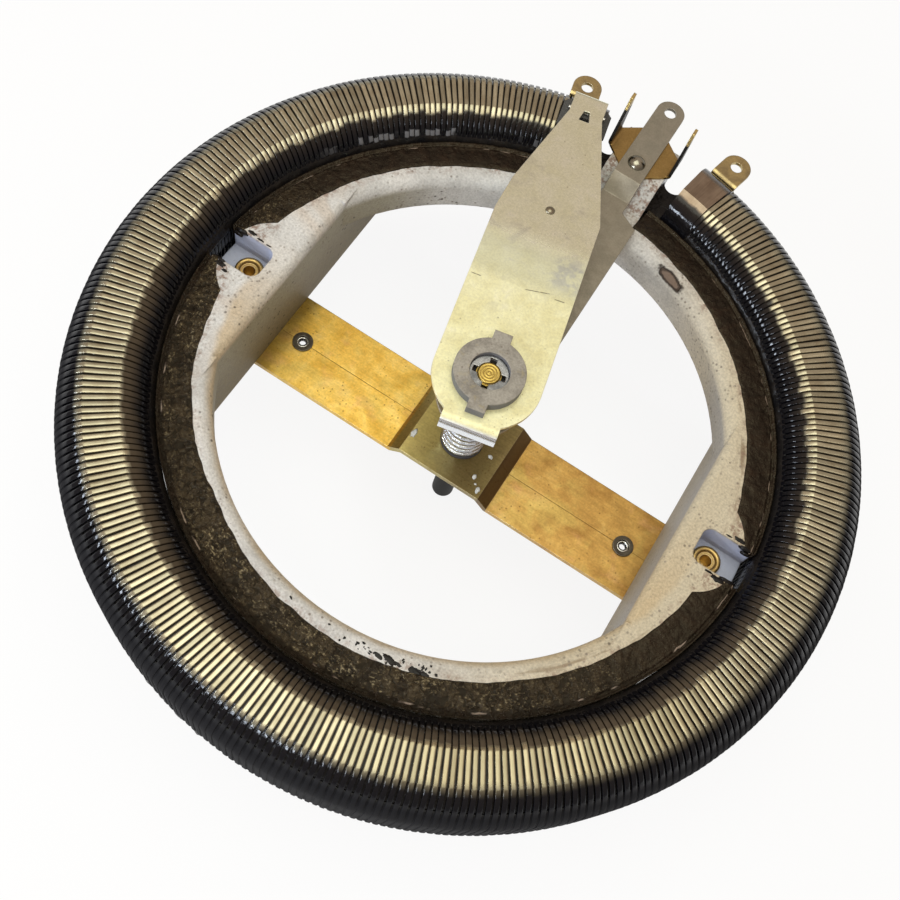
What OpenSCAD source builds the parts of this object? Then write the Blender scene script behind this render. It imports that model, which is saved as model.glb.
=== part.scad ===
// Rotary rheostat: a wound ceramic ring on a bridged ceramic base, with a turning contact arm.
// Millimetres. The shaft axis is Z, the mounting plane is Z = 0 and the shaft leaves it downwards.
// The bridge strap runs along X and the terminals face +Y.

/* [Wound ring] */
// Outside diameter over the winding
ring_od = 304.8; // [290:0.2:330]
// Radial width of the wound tube
ring_w = 35.4; // [34:0.2:40]
// Height of the wound tube
ring_h = 49.1; // [44:0.1:60]
// Height of the tube's underside above the mounting plane
ring_lift = 4; // [2:0.5:8]
// Radius of the tube's upper shoulders
top_round = 17.6; // [12:0.1:17.6]
// Radius of the tube's lower corners
bottom_round = 11; // [5:0.5:15]
// Depth ground off the domed top for the contact track
track_flat = 1.1; // [0.3:0.1:1.5]

/* [Resistance winding] */
// Number of turns between the two end bands
turns = 320; // [240:1:330]
// Width of the resistance ribbon
ribbon_w = 1.75; // [1:0.05:1.85]
// Thickness of the resistance ribbon
ribbon_t = 1.2; // [0.7:0.1:1.8]
// Clear angle of the unwound gap between the end bands
gap_angle = 18.4; // [17:0.1:24]
// Angle that each end band covers
band_angle = 5.8; // [5:0.1:8]
// Angle between an end band and the middle of the next turn
lead_angle = 0.6; // [0.55:0.05:1]

/* [End terminals] */
// Width of a terminal tab
tab_w = 12.6; // [10:0.2:14]
// Thickness of a terminal tab
tab_t = 1.5; // [1:0.1:2]
// Reach of the right tab's hole past the winding
tab_reach = 9.8; // [8.5:0.1:16]
// Reach of the left tab's hole past the winding
left_tab_reach = 6.4; // [6:0.1:16]
// Angle of the left tab past the middle of its band
left_tab_shift = 1.8; // [0:0.1:2.2]
// Diameter of the wire hole in each terminal
tab_hole_d = 5.2; // [4:0.1:6]
// Depth of the tab's top below the contact track
tab_drop = 9.1; // [6:0.1:14]
// Length of the tab's leg down the end band
tab_leg = 14; // [8:0.5:18]

/* [Ceramic base] */
// Radial width of the base flange
base_w = 18.9; // [17:0.1:24]
// Thickness of the base flange
flange_t = 16; // [15:0.5:22]
// Depth of the base's land below the contact track
land_drop = 9.1; // [7:0.1:14]
// Rounding of the flange's inner top edge
edge_round = 5; // [1:0.5:6]
// Distance that each boss stands inside the flange bore
boss_depth = 9.4; // [8:0.1:16]
// Rounding of the boss's inner top edge
boss_round = 3; // [1:0.5:5]
// Width of the rivet notch in each boss
notch_w = 15; // [13:0.5:20]
// Depth of the rivet notch
notch_depth = 12.5; // [8:0.5:14]
// Rounding of the rivet notch's inner corners
notch_round = 4; // [1:0.5:6]

/* [Enamel bond] */
// Width of the enamel channel along the winding
bond_w = 9.4; // [8:0.1:13]
// Depth of the enamel channel
bond_depth = 5; // [3:0.5:7]
// Sag of the enamel's surface beside the winding
bond_sag = 1.75; // [0.5:0.05:2.5]
// Gap between base and winding that the enamel fills
bond_gap = 1.1; // [0.8:0.1:2]
// Radius of the bare land round each rivet notch
lobe_r = 22; // [20:0.5:24]

/* [Bridge strap] */
// Width of the strap
strap_w = 37.2; // [30:0.2:44]
// Thickness of the strap
strap_t = 2.5; // [2:0.1:3.5]
// Height of the strap's raised centre
strap_rise = 4.5; // [4.2:0.1:6]
// Half length of the raised centre
strap_flat = 18.5; // [16:0.1:22]
// Length of each ramp along the strap
strap_ramp = 5; // [4:0.1:8]
// Distance of the rivets from the base's outer edge
rivet_inset = 12.3; // [11:0.1:14]
// Diameter of a strap rivet
rivet_d = 7; // [4:0.1:8]
// Distance of the mounting holes from the boss faces
mount_inset = 10.3; // [8:0.1:20]
// Diameter of the mounting thread's bore
mount_bore_d = 5.1; // [4:0.1:6]

/* [Shaft] */
// Diameter of the shaft
shaft_d = 9.525; // [8:0.005:10]
// Length of the shaft below the mounting plane
shaft_out = 49; // [25:1:70]
// Radial running clearance of the shaft in its bushing
shaft_clear = 0.04; // [0.02:0.01:0.09]
// Height of the shaft's end above its slotted ring
shaft_above = 0.3; // [0.2:0.1:2]
// Diameter of the bushing's body
bushing_d = 14; // [13:0.1:14.4]
// Height of the bushing's body above the strap
bushing_h = 15; // [8:0.5:22]

/* [Spring] */
// Outside diameter of the spring
spring_od = 18.2; // [18.2:0.1:22]
// Diameter of the spring wire
spring_wire = 1.8; // [1.2:0.1:2]
// Number of coils
spring_coils = 10; // [6:1:12]

/* [Collector] */
// Thickness of the collector blade
blade_t = 1.5; // [1:0.1:2]
// Width of the blade's terminal end
blade_neck_w = 12.2; // [10:0.2:14]
// Width of the blade beneath the arm
blade_w = 28.4; // [24:0.2:34]
// Height of the blade above the base's land
blade_clear = 3.5; // [2:0.1:5]
// Diameter of the ring at the blade's inner end
blade_ring_d = 33; // [31:0.5:36]
// Reach of the collector's wire hole past the winding
blade_reach = 3.4; // [3:0.1:12]
// Angle of the collector and its stops past the terminal side
collector_angle = 0.5; // [0:0.1:1]

/* [Stop plate] */
// Distance between the outer faces of the two stops
stop_w = 29.6; // [26:0.2:30]
// Height of the stops above the plate
stop_h = 21; // [14:0.5:26]
// Length of each stop along the blade
stop_l = 10.4; // [8:0.2:14]
// Length of each stop's tip along the blade
stop_tip_l = 3.2; // [2:0.2:8]
// Thickness of the stop plate
plate_t = 1.2; // [1:0.1:2]
// Width of the base's tongue that carries the plate
tongue_w = 24; // [20:0.5:25]

/* [Contact arm] */
// Angle of the resting arm from the terminal side
arm_angle = 12.7; // [12:0.1:16]
// Thickness of the arm
arm_t = 1.5; // [1:0.1:2]
// Width of the arm's broad part
arm_w = 40.8; // [40:0.2:46]
// Width of the arm's tip
tip_w = 14.2; // [14:0.2:18]
// Height of the fold at the arm's tip
tip_fold = 3.4; // [2.8:0.1:3.8]
// Height of the arm's underside above the track at the hub
arm_rise = 10.6; // [10:0.1:13]
// Fall of the arm from its crease to its tip
arm_drop = 5.7; // [4:0.1:5.7]
// Distance of the crease from the shaft axis
crease_u = 39.5; // [36:0.5:50]
// Distance of the broad part's corners from the shaft axis
shoulder_u = 79; // [70:0.5:90]
// Length that the left corner is cut back on each side
shoulder_cut = 8; // [4:0.5:12]
// Width of the lip at the arm's rear
lip_w = 21.3; // [16:0.1:24]
// Distance of the lip from the shaft axis
lip_u = 22.6; // [21.6:0.1:24]
// Height of the lip at the arm's rear
lip_h = 6; // [4.5:0.1:9]
// Inside radius of the lip's bend
lip_bend = 2.4; // [1:0.1:2.8]

/* [Contact brush] */
// Length of the brush along the arm
brush_l = 16; // [12:0.2:16.4]
// Width of the brush
brush_w = 20.6; // [14:0.2:22]
// Thickness of the brush's shoe
shoe_t = 1.6; // [1:0.1:2]
// Clearance of the brush over the track
brush_clear = 0.3; // [0.3:0.05:0.6]

/* [Hub] */
// Diameter of the hub's flange
hub_d = 26.4; // [26:0.2:32]
// Thickness of the hub's flange
hub_t = 4.3; // [3.6:0.1:6]
// Reach of the hub's ears from the axis
ear_reach = 16.4; // [15:0.1:18]
// Width of the hub's ears
ear_w = 6.9; // [5:0.1:9]

/* [Hidden] */
$fn = 96;

// Clearances
fit_gap = 0.05;
wind_gap = 0.1;
slide_gap = 0.2;
cut = 1;

// Wound ring
tube_ro = ring_od/2;
tube_ri = tube_ro - ring_w;
track_r = (tube_ri + tube_ro)/2;
track_z = ring_lift + ring_h;
dome_r = min(top_round, ring_w/2 - wind_gap);
dome_z = track_z + track_flat - dome_r;
sole_z = ring_lift + bottom_round;
core_inset = ribbon_t + wind_gap;
core_angle = 360 - gap_angle;
plate_z = track_z - core_inset;
wound_start = 90 + gap_angle/2 + band_angle + lead_angle;
wound_angle = 360 - gap_angle - 2*band_angle - 2*lead_angle;
terminal_angle = (gap_angle + band_angle)/2;
tab_z = track_z - tab_drop;
tab_bend = 1;

// Ceramic base and enamel
base_ro = tube_ri - bond_gap;
base_ri = base_ro - base_w;
land_z = track_z - land_drop;
flange_z = land_z - flange_t;
boss_x = base_ri - boss_depth;
notch_z = land_z - notch_depth;
notch_back = 7.6;
bond_ri = base_ro - bond_w;
bond_ro = tube_ri - wind_gap;
bond_z = land_z - bond_depth;
rivet_x = base_ro - rivet_inset;
lobe_inset = 11.6;
lobe_x = rivet_x - lobe_inset;

// Bridge strap
strap_inset = 4;
strap_end = base_ro - strap_inset;
strap_top_z = strap_rise + strap_t;
mount_x = boss_x - mount_inset;
rivet_head_d = rivet_d + 4;
rivet_sink = 0.15;
rivet_sink_h = strap_t - 0.5;
rivet_roll_r = rivet_d/6;
rivet_bore_r = rivet_d/3;
rivet_rim_t = 0.4*rivet_roll_r;
insert_d = mount_bore_d + 2.1;
collar_d = mount_bore_d + 3.5;
collar_h = 0.8;

// Shaft and bushing
shaft_r = shaft_d/2;
neck_d = shaft_d + 2.5;
washer_t = 0.6;
bushing_end_z = 1.2;
nut_af = neck_d + 5.5;
clip_t = 1;
clip_z = bushing_end_z - 0.3 - clip_t;
groove_r = shaft_r - 0.85;
tip_r = shaft_r - 0.46;

// Spring stack
seat_t = 1.2;
seat_d = spring_od - 2*slide_gap;
blade_z = land_z + blade_clear;
blade_top_z = blade_z + blade_t;
flange_washer_t = 3;
spring_z0 = strap_top_z + seat_t;
spring_z1 = blade_z - flange_washer_t;
pilot_d = bushing_d + 3.8;
washer_flange_d = pilot_d + 3;

// Terminals in the gap
plate_top_z = plate_z + plate_t;
plate_y = track_r - 2.3;
plate_half = 11;
plate_nose_w = blade_neck_w;
plate_screw_y = track_r;
plate_screw_d = 4;
insert_depth = 14;
screw_l = insert_depth - 1;
stop_foot_h = 3*plate_t;
tongue_root = base_ri + edge_round + cut;
tongue_foot = tube_ri - 8;
tongue_crest = tube_ri + 2.5;
tongue_end = plate_y + plate_half - 2;
web_ro = track_r;
web_angle = gap_angle/2 - 0.1;
web_scoop = 4.4;
collector_rivet_y = plate_y - 8;
collector_rivet_d = 4.8;
collector_head_d = 7.6;
collector_head_h = 2.4;
blade_end_y = tube_ro + blade_reach;
blade_ramp_out = tube_ri - 0.5;
blade_ramp_in = tube_ri - 7.5;
blade_flare_y = base_ri + 6.5;

// Contact arm
arm_z = track_z + arm_rise;
arm_top_z = arm_z + arm_t;
tip_u = track_r + 7.3;
neck_u = track_r - 4.7;
arm_slope = atan(arm_drop/(tip_u - crease_u));
lip_lap = lip_bend + arm_t + 4;
tip_bend = 1;
tip_round = tip_bend + arm_t;
arm_rivet_u = shoulder_u - 1;
arm_rivet_d = 2.4;
arm_rivet_head_d = 3.9;
arm_rivet_head_h = 1;
leaf_w = 8;
leaf_t = 0.5;
ear_t = 1.2;
pin_d = 1.4;
pin_over = 0.8;
pin_wall = 0.4;
window_u = neck_u - 3.2;
window_l = 5.4;
window_w = 4.4;
window_tip_w = 2.4;
brush_u = track_r - 2.2;
brush_corner = 2.4;
brush_sole_z = track_z + brush_clear;
boss_l = 8;
boss_w = tip_w - 2*ear_t - 4*slide_gap;
ear_z = brush_sole_z + shoe_t + slide_gap;
boss_top_z = arm_top(track_r + boss_l/2) - arm_t - leaf_t - 2*fit_gap;
pin_z = boss_top_z - pin_wall - pin_d/2;

// Hub
neck_r = 10.5;
key_reach = hub_d/2 - 2*slide_gap;
shank_r = 8.6;
bore_r = shaft_r + fit_gap;
pocket_r = 7.4;
pocket_t = 2.8;
hub_top_z = arm_top_z + hub_t;
star_z = hub_top_z - pocket_t;
star_t = 0.8;
star_slot_w = 2.4;
star_slot_r = pocket_r - 1.2;
relief_h = 4;
shaft_top_z = star_z + star_t + shaft_above;
slip_z = blade_top_z + slide_gap;
slip_flange_t = 1.5;

// Height of the arm's top surface at a distance from the axis
function arm_top(u) = arm_top_z - max(0, u - crease_u)*tan(arm_slope);

// Section of the wound tube, inset from the winding's outer surface
module tube_section(inset) {
    intersection() {
        translate([tube_ri, ring_lift]) square([ring_w, ring_h - inset]);
        union() {
            for (r = [tube_ri + dome_r, tube_ro - dome_r])
                translate([r, dome_z]) circle(dome_r - inset);
            for (r = [tube_ri + bottom_round, tube_ro - bottom_round])
                translate([r, sole_z]) circle(bottom_round - inset);
            translate([tube_ri + inset, sole_z]) square([ring_w - 2*inset, dome_z - sole_z]);
            translate([tube_ri + dome_r, sole_z])
                square([ring_w - 2*dome_r, dome_z + dome_r - inset - sole_z]);
            translate([tube_ri + bottom_round, ring_lift + inset])
                square([ring_w - 2*bottom_round, bottom_round]);
        }
    }
}

// Closed section of one ribbon turn round the core
module ribbon_section() {
    difference() {
        tube_section(0);
        tube_section(ribbon_t);
    }
}

// Bent sheet: two legs along +X and +Y whose outside corner is at the origin
module bend_section(leg_x, leg_y, t, r) {
    outer = r + t;
    translate([outer, 0]) square([leg_x - outer, t]);
    translate([0, outer]) square([t, leg_y - outer]);
    intersection() {
        square(outer);
        translate([outer, outer]) difference() {
            circle(outer);
            circle(r);
        }
    }
}

// Corner left over outside a quarter round at the upper left of a square
module corner_section(r) {
    difference() {
        square(r);
        translate([r, 0]) circle(r);
    }
}

// Flat plate standing on the XZ plane, swept evenly about Y = 0
module across(w) {
    rotate([90, 0, 0]) linear_extrude(w, center = true) children();
}

// Both ends of the strap
module at_both_ends() {
    for (a = [0, 180]) rotate(a) children();
}

// Plain ring with a round hole
module ring(d, hole_d, h) {
    difference() {
        cylinder(d = d, h = h);
        translate([0, 0, -cut]) cylinder(d = hole_d, h = h + 2*cut);
    }
}

// Domed rivet head on Z = 0
module dome(d, h) {
    ball_r = (d*d/4 + h*h)/(2*h);
    intersection() {
        translate([0, 0, h - ball_r]) sphere(ball_r);
        cylinder(d = d + cut, h = h);
    }
}

// Collector, stops and their screw, laid at the collector's angle
module at_collector() {
    rotate(collector_angle) children();
}

// Plan of a rivet notch: open outwards, with two rounded inner corners
module notch_plan() {
    start = rivet_x - notch_back;
    side = notch_w/2 - notch_round;
    translate([start + notch_round, -notch_w/2]) square([bond_ro + cut - start - notch_round, notch_w]);
    translate([start, -side]) square([2*notch_round, 2*side]);
    for (y = [-side, side]) translate([start + notch_round, y]) circle(notch_round);
}

module rivet_notch() {
    translate([0, 0, notch_z]) linear_extrude(notch_depth + cut) notch_plan();
}

module bare_lobe(gap) {
    translate([lobe_x, 0, flange_z - cut]) cylinder(r = lobe_r + gap, h = flange_t + 2*cut);
}

// Half planes that the two bosses fill
module boss_sides() {
    at_both_ends() translate([boss_x, -base_ro]) square([base_ro, 2*base_ro]);
}

// Plan of the flange with the two bosses filling its bore's ends
module base_plan() {
    difference() {
        circle(base_ro);
        difference() {
            circle(base_ri);
            boss_sides();
        }
    }
}

// Material taken off the inner top edges of the flange and the bosses
module base_rounds() {
    chord = 2*sqrt(base_ri*base_ri - boss_x*boss_x);
    intersection() {
        rotate_extrude() translate([base_ri, land_z - edge_round]) corner_section(edge_round);
        translate([-boss_x, -base_ro, 0]) cube([2*boss_x, 2*base_ro, land_z + cut]);
    }
    at_both_ends() across(chord) translate([boss_x, land_z - boss_round]) corner_section(boss_round);
}

// Tongue of the base that reaches out through the ring's gap
module tongue(gap) {
    rotate(90) across(tongue_w + 2*gap) polygon([
        [tongue_root, flange_z - gap],
        [tongue_end, flange_z - gap],
        [tongue_end, plate_z],
        [tongue_crest, plate_z],
        [tongue_foot, land_z + gap],
        [tongue_root, land_z + gap]
    ]);
}

module ceramic_base() {
    color("antiquewhite") difference() {
        union() {
            difference() {
                union() {
                    translate([0, 0, flange_z]) linear_extrude(flange_t) base_plan();
                    translate([0, 0, strap_t]) linear_extrude(flange_z - strap_t) intersection() {
                        circle(base_ro);
                        boss_sides();
                    }
                }
                base_rounds();
                difference() {
                    translate([0, 0, bond_z]) ring(2*base_ro + 2*cut, 2*bond_ri, bond_depth + cut);
                    at_both_ends() bare_lobe(0);
                }
                at_both_ends() {
                    rivet_notch();
                    translate([rivet_x, 0, 0]) cylinder(d = rivet_d + 2*slide_gap, h = land_z);
                }
            }
            tongue(0);
        }
        at_collector() translate([0, plate_screw_y, plate_z - insert_depth])
            cylinder(d = 2*plate_screw_d + 2*fit_gap, h = insert_depth + cut);
    }
}

module enamel_bond() {
    color("saddlebrown") difference() {
        rotate_extrude() polygon([
            [base_ro + fit_gap, flange_z],
            [bond_ro, flange_z],
            [bond_ro, land_z - bond_sag],
            [bond_ri + fit_gap, land_z],
            [bond_ri + fit_gap, bond_z],
            [base_ro + fit_gap, bond_z]
        ]);
        at_both_ends() {
            bare_lobe(fit_gap);
            rivet_notch();
        }
        tongue(fit_gap);
    }
}

// Enamel that fills the ring's gap on both sides of the tongue
module gap_enamel() {
    scoop_x = tongue_w/2 + web_scoop;
    color("black") difference() {
        rotate(90 - web_angle) rotate_extrude(angle = 2*web_angle)
            translate([bond_ro + fit_gap, flange_z])
                square([web_ro - bond_ro, land_z - bond_sag - flange_z]);
        tongue(fit_gap);
        for (side = [-1, 1]) translate([side*scoop_x, web_ro, flange_z - cut])
            cylinder(r = web_scoop, h = flange_t + 2*cut);
    }
}

// Open ring that carries the turns and both end bands
module winding_core() {
    color("ivory") rotate(90 + gap_angle/2) rotate_extrude(angle = core_angle) tube_section(core_inset);
}

module resistance_winding() {
    color("dimgray") for (i = [0 : turns - 1])
        rotate(wound_start + i*wound_angle/(turns - 1)) across(ribbon_w) ribbon_section();
}

module end_band(start) {
    color("rosybrown") rotate(start) rotate_extrude(angle = band_angle) ribbon_section();
}

module end_band_left() {
    end_band(90 + gap_angle/2);
}

module end_band_right() {
    end_band(90 - gap_angle/2 - band_angle);
}

module end_terminal(angle, reach) {
    leg = reach + tab_w/2;
    color("darkgoldenrod") rotate(90 + angle) translate([tube_ro + fit_gap, 0, 0]) difference() {
        intersection() {
            translate([0, 0, tab_z]) mirror([0, 0, 1]) across(tab_w)
                bend_section(leg, tab_leg, tab_t, tab_bend);
            linear_extrude(track_z) {
                translate([reach, 0]) circle(d = tab_w);
                translate([0, -tab_w/2]) square([reach, tab_w]);
            }
        }
        translate([reach, 0, 0]) cylinder(d = tab_hole_d, h = track_z);
    }
}

module end_terminal_left() {
    end_terminal(terminal_angle + left_tab_shift, left_tab_reach);
}

module end_terminal_right() {
    end_terminal(-terminal_angle, tab_reach);
}

// Side of one stop: upright outer edge, and an inner edge that leans to a narrow tip
module stop_outline() {
    polygon([
        [-stop_l/2, 0],
        [stop_l/2, 0],
        [stop_l/2, stop_h + plate_t],
        [stop_l/2 - stop_tip_l, stop_h + plate_t],
        [-stop_l/2, stop_foot_h]
    ]);
}

module stop_plate() {
    color("peru") at_collector() difference() {
        union() {
            translate([0, plate_y, plate_z]) linear_extrude(plate_t) polygon([
                [-stop_w/2 + plate_t, -stop_l/2],
                [-plate_nose_w/2, -plate_half],
                [plate_nose_w/2, -plate_half],
                [stop_w/2 - plate_t, -stop_l/2],
                [stop_w/2 - plate_t, stop_l/2],
                [plate_nose_w/2, plate_half],
                [-plate_nose_w/2, plate_half],
                [-stop_w/2 + plate_t, stop_l/2]
            ]);
            for (side = [0, 1]) mirror([side, 0, 0]) translate([0, plate_y, plate_z]) intersection() {
                translate([-stop_w/2, 0, 0]) across(stop_l)
                    bend_section(stop_w/2, stop_h + plate_t, plate_t, plate_t);
                rotate(90) across(stop_w + cut) stop_outline();
            }
        }
        translate([0, plate_screw_y, plate_z - cut])
            cylinder(d = plate_screw_d + 2*fit_gap, h = plate_t + 2*cut);
        translate([0, plate_screw_y, plate_z])
            cylinder(d1 = plate_screw_d + 2*fit_gap, d2 = plate_screw_d + 2*plate_t + 2*fit_gap, h = plate_t);
        translate([0, collector_rivet_y, plate_z - cut])
            cylinder(d = collector_rivet_d + 2*fit_gap, h = plate_t + 2*cut);
    }
}

// Countersunk screw that holds the stop plate, flush beneath the collector
module plate_screw() {
    color("gray") at_collector() translate([0, plate_screw_y, plate_z]) {
        translate([0, 0, -screw_l]) cylinder(d = plate_screw_d, h = screw_l);
        cylinder(d1 = plate_screw_d, d2 = plate_screw_d + 2*plate_t, h = plate_t);
    }
}

module plate_insert() {
    color("goldenrod") at_collector() translate([0, plate_screw_y, plate_z - insert_depth])
        ring(2*plate_screw_d, plate_screw_d + 2*fit_gap, insert_depth);
}

// Plan of the collector: ring end, broad blade, narrow terminal end
module blade_plan() {
    circle(d = blade_ring_d);
    polygon([
        [-blade_w/2, 0],
        [blade_w/2, 0],
        [blade_w/2, blade_flare_y - (blade_w - blade_neck_w)/4],
        [blade_neck_w/2, blade_flare_y],
        [blade_neck_w/2, blade_end_y],
        [-blade_neck_w/2, blade_end_y],
        [-blade_neck_w/2, blade_flare_y],
        [-blade_w/2, blade_flare_y - (blade_w - blade_neck_w)/4]
    ]);
    translate([0, blade_end_y]) circle(d = blade_neck_w);
}

// Side of the collector, along Y: a low run, one ramp and the terminal end
module blade_side() {
    rise = plate_top_z - blade_z;
    shift = blade_t*tan(atan(rise/(blade_ramp_out - blade_ramp_in))/2);
    rear = -blade_ring_d;
    front = blade_end_y + blade_neck_w;
    polygon([
        [rear, blade_z],
        [blade_ramp_in, blade_z],
        [blade_ramp_out, plate_top_z],
        [front, plate_top_z],
        [front, plate_top_z + blade_t],
        [blade_ramp_out - shift, plate_top_z + blade_t],
        [blade_ramp_in - shift, blade_top_z],
        [rear, blade_top_z]
    ]);
}

module collector_blade() {
    color("slategray") at_collector() difference() {
        intersection() {
            rotate(90) across(2*blade_w) blade_side();
            linear_extrude(arm_z) blade_plan();
        }
        cylinder(d = pilot_d + 2*fit_gap, h = arm_z);
        translate([0, collector_rivet_y, 0]) cylinder(d = collector_rivet_d + 2*fit_gap, h = arm_z);
        translate([0, blade_end_y, 0]) cylinder(d = tab_hole_d, h = arm_z);
    }
}

// Domed rivet that joins the collector to the stop plate
module collector_rivet() {
    color("silver") at_collector() translate([0, collector_rivet_y, 0]) {
        translate([0, 0, plate_z]) cylinder(d = collector_rivet_d, h = plate_t + blade_t);
        translate([0, 0, plate_top_z + blade_t]) dome(collector_head_d, collector_head_h);
    }
}

// Side of the strap: raised centre, two ramps and two wings
module strap_side() {
    shift = strap_t*tan(atan(strap_rise/strap_ramp)/2);
    foot = strap_flat + strap_ramp;
    half = [
        [strap_flat - shift, strap_rise],
        [foot - shift, 0],
        [strap_end, 0],
        [strap_end, strap_t],
        [foot, strap_t],
        [strap_flat, strap_top_z]
    ];
    polygon(concat(half, [for (i = [5 : -1 : 0]) [-half[i][0], half[i][1]]]));
}

module bridge_strap() {
    color("goldenrod") difference() {
        across(strap_w) strap_side();
        cylinder(d = neck_d + 2*fit_gap, h = strap_top_z + cut);
        at_both_ends() {
            translate([mount_x, 0, -cut]) cylinder(d = insert_d + 2*fit_gap, h = strap_t + 2*cut);
            translate([rivet_x, 0, -cut]) cylinder(d = rivet_d + 2*fit_gap, h = strap_t + 2*cut);
            translate([rivet_x, 0, 0])
                cylinder(d1 = rivet_head_d + 2*fit_gap, d2 = rivet_d + 2*fit_gap, h = rivet_sink_h);
        }
    }
}

// Semi-tubular rivets: countersunk below the strap, rolled over in the base's notches
module strap_rivets() {
    roll = [for (a = [0 : 15 : 180])
        [rivet_d/2 + rivet_roll_r*(1 + cos(a)), notch_z + rivet_roll_r*(1 + sin(a))]];
    color("darkgoldenrod") at_both_ends() translate([rivet_x, 0, 0]) rotate_extrude() polygon(concat(
        [[0, rivet_sink], [rivet_head_d/2 - rivet_sink, rivet_sink], [rivet_d/2, rivet_sink_h]],
        [[rivet_d/2, notch_z], [rivet_d/2 + 2*rivet_roll_r - rivet_rim_t, notch_z]],
        roll,
        [[rivet_bore_r, notch_z + rivet_roll_r], [rivet_bore_r, notch_z - rivet_d], [0, notch_z - rivet_d]]
    ));
}

// Clinch nuts for the panel bolts, flush with the strap's underside
module mounting_inserts() {
    color("dimgray") at_both_ends() translate([mount_x, 0, 0]) difference() {
        union() {
            cylinder(d = insert_d, h = strap_t);
            translate([0, 0, strap_t]) cylinder(d = collar_d, h = collar_h);
        }
        translate([0, 0, -cut]) cylinder(d = mount_bore_d, h = strap_t + collar_h + 2*cut);
    }
}

module shaft_bushing() {
    color("darkkhaki") difference() {
        union() {
            translate([0, 0, strap_top_z]) cylinder(d = bushing_d, h = bushing_h);
            translate([0, 0, bushing_end_z]) cylinder(d = neck_d, h = strap_top_z - bushing_end_z);
        }
        cylinder(r = shaft_r + shaft_clear, h = strap_top_z + bushing_h + cut);
    }
}

module bushing_nut() {
    color("khaki") translate([0, 0, bushing_end_z]) difference() {
        cylinder(d = nut_af/cos(30), h = strap_rise - washer_t - bushing_end_z, $fn = 6);
        translate([0, 0, -cut]) cylinder(d = neck_d + 2*fit_gap, h = strap_rise + cut);
    }
}

module bushing_lockwasher() {
    color("gainsboro") translate([0, 0, strap_rise - washer_t])
        ring(nut_af, neck_d + 2*fit_gap, washer_t);
}

module spring_seat() {
    color("sienna") translate([0, 0, strap_top_z]) ring(seat_d, bushing_d + 2*fit_gap, seat_t);
}

// Height share of the coil centre line: closed end coils and an even pitch between
function coil_z(n) =
    let (closed = spring_wire, free = spring_z1 - spring_z0 - 3*spring_wire)
    let (middle = min(max(n - 1, 0), spring_coils - 2))
    let (ends = min(n, 1) + max(n - spring_coils + 1, 0))
    spring_z0 + spring_wire/2 + ends*closed + middle*free/(spring_coils - 2);

module compression_spring() {
    steps = 18;
    sides = 8;
    rings = spring_coils*steps;
    mean_r = (spring_od - spring_wire)/2;
    points = [
        for (i = [0 : rings], j = [0 : sides - 1])
            let (turn = 360*i/steps, side = 360*j/sides, r = mean_r + spring_wire/2*cos(side))
            [r*cos(turn), r*sin(turn), coil_z(i/steps) + spring_wire/2*sin(side)]
    ];
    walls = [
        for (i = [0 : rings - 1], j = [0 : sides - 1])
            let (next = (j + 1) % sides)
            [i*sides + j, i*sides + next, (i + 1)*sides + next, (i + 1)*sides + j]
    ];
    first = [for (j = [sides - 1 : -1 : 0]) j];
    last = [for (j = [0 : sides - 1]) rings*sides + j];
    color("lightsteelblue") polyhedron(points, concat(walls, [first, last]));
}

// Flanged washer that keeps the spring's force off the live collector
module insulating_washer() {
    color("burlywood") difference() {
        union() {
            translate([0, 0, spring_z1]) cylinder(d = washer_flange_d, h = flange_washer_t);
            translate([0, 0, blade_z]) cylinder(d = pilot_d, h = blade_t - slide_gap);
        }
        cylinder(d = shaft_d + 4*slide_gap, h = arm_z);
    }
}

module shaft() {
    chamfer = 0.8;
    color("gold") rotate_extrude() polygon([
        [0, -shaft_out],
        [shaft_r - chamfer, -shaft_out],
        [shaft_r, chamfer - shaft_out],
        [shaft_r, clip_z - fit_gap],
        [groove_r, clip_z - fit_gap],
        [groove_r, clip_z + clip_t + fit_gap],
        [shaft_r, clip_z + clip_t + fit_gap],
        [shaft_r, star_z - fit_gap],
        [tip_r, star_z - fit_gap],
        [tip_r, shaft_top_z - chamfer/2],
        [tip_r - chamfer/2, shaft_top_z],
        [0, shaft_top_z]
    ]);
}

// Open retaining clip in the shaft's groove, below the bushing
module shaft_clip() {
    mouth = 1.7*groove_r;
    color("darkgray") translate([0, 0, clip_z]) difference() {
        ring(2*shaft_r + 6, 2*groove_r + 2*fit_gap, clip_t);
        translate([0, -mouth/2, -cut]) cube([shaft_d, mouth, clip_t + 2*cut]);
    }
}

// Everything that turns is drawn along +X and laid at the resting angle
module at_rest() {
    rotate(90 + arm_angle) children();
}

module key_plan(reach, w, r) {
    circle(r);
    square([2*reach, w], center = true);
}

module arm_hub() {
    color("lightgray") at_rest() difference() {
        union() {
            translate([0, 0, arm_top_z]) linear_extrude(hub_t) key_plan(ear_reach, ear_w, hub_d/2);
            translate([0, 0, arm_z]) linear_extrude(arm_t) key_plan(key_reach, ear_w, neck_r);
            translate([0, 0, slip_z + slide_gap]) cylinder(r = shank_r, h = arm_z - slip_z - slide_gap);
        }
        cylinder(r = bore_r, h = hub_top_z + cut);
        translate([0, 0, star_z]) cylinder(r = pocket_r, h = pocket_t + cut);
        translate([0, 0, star_z - relief_h]) cylinder(r = star_slot_r, h = relief_h + cut);
    }
}

// Push-on ring with four slots that grips the shaft's end in the hub's pocket
module star_ring() {
    color("whitesmoke") at_rest() translate([0, 0, star_z]) difference() {
        ring(2*pocket_r - 2*slide_gap, 2*tip_r + 2*fit_gap, star_t);
        for (a = [0, 90]) rotate(a) translate([-star_slot_r, -star_slot_w/2, -cut])
            cube([2*star_slot_r, star_slot_w, star_t + 2*cut]);
    }
}

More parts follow.
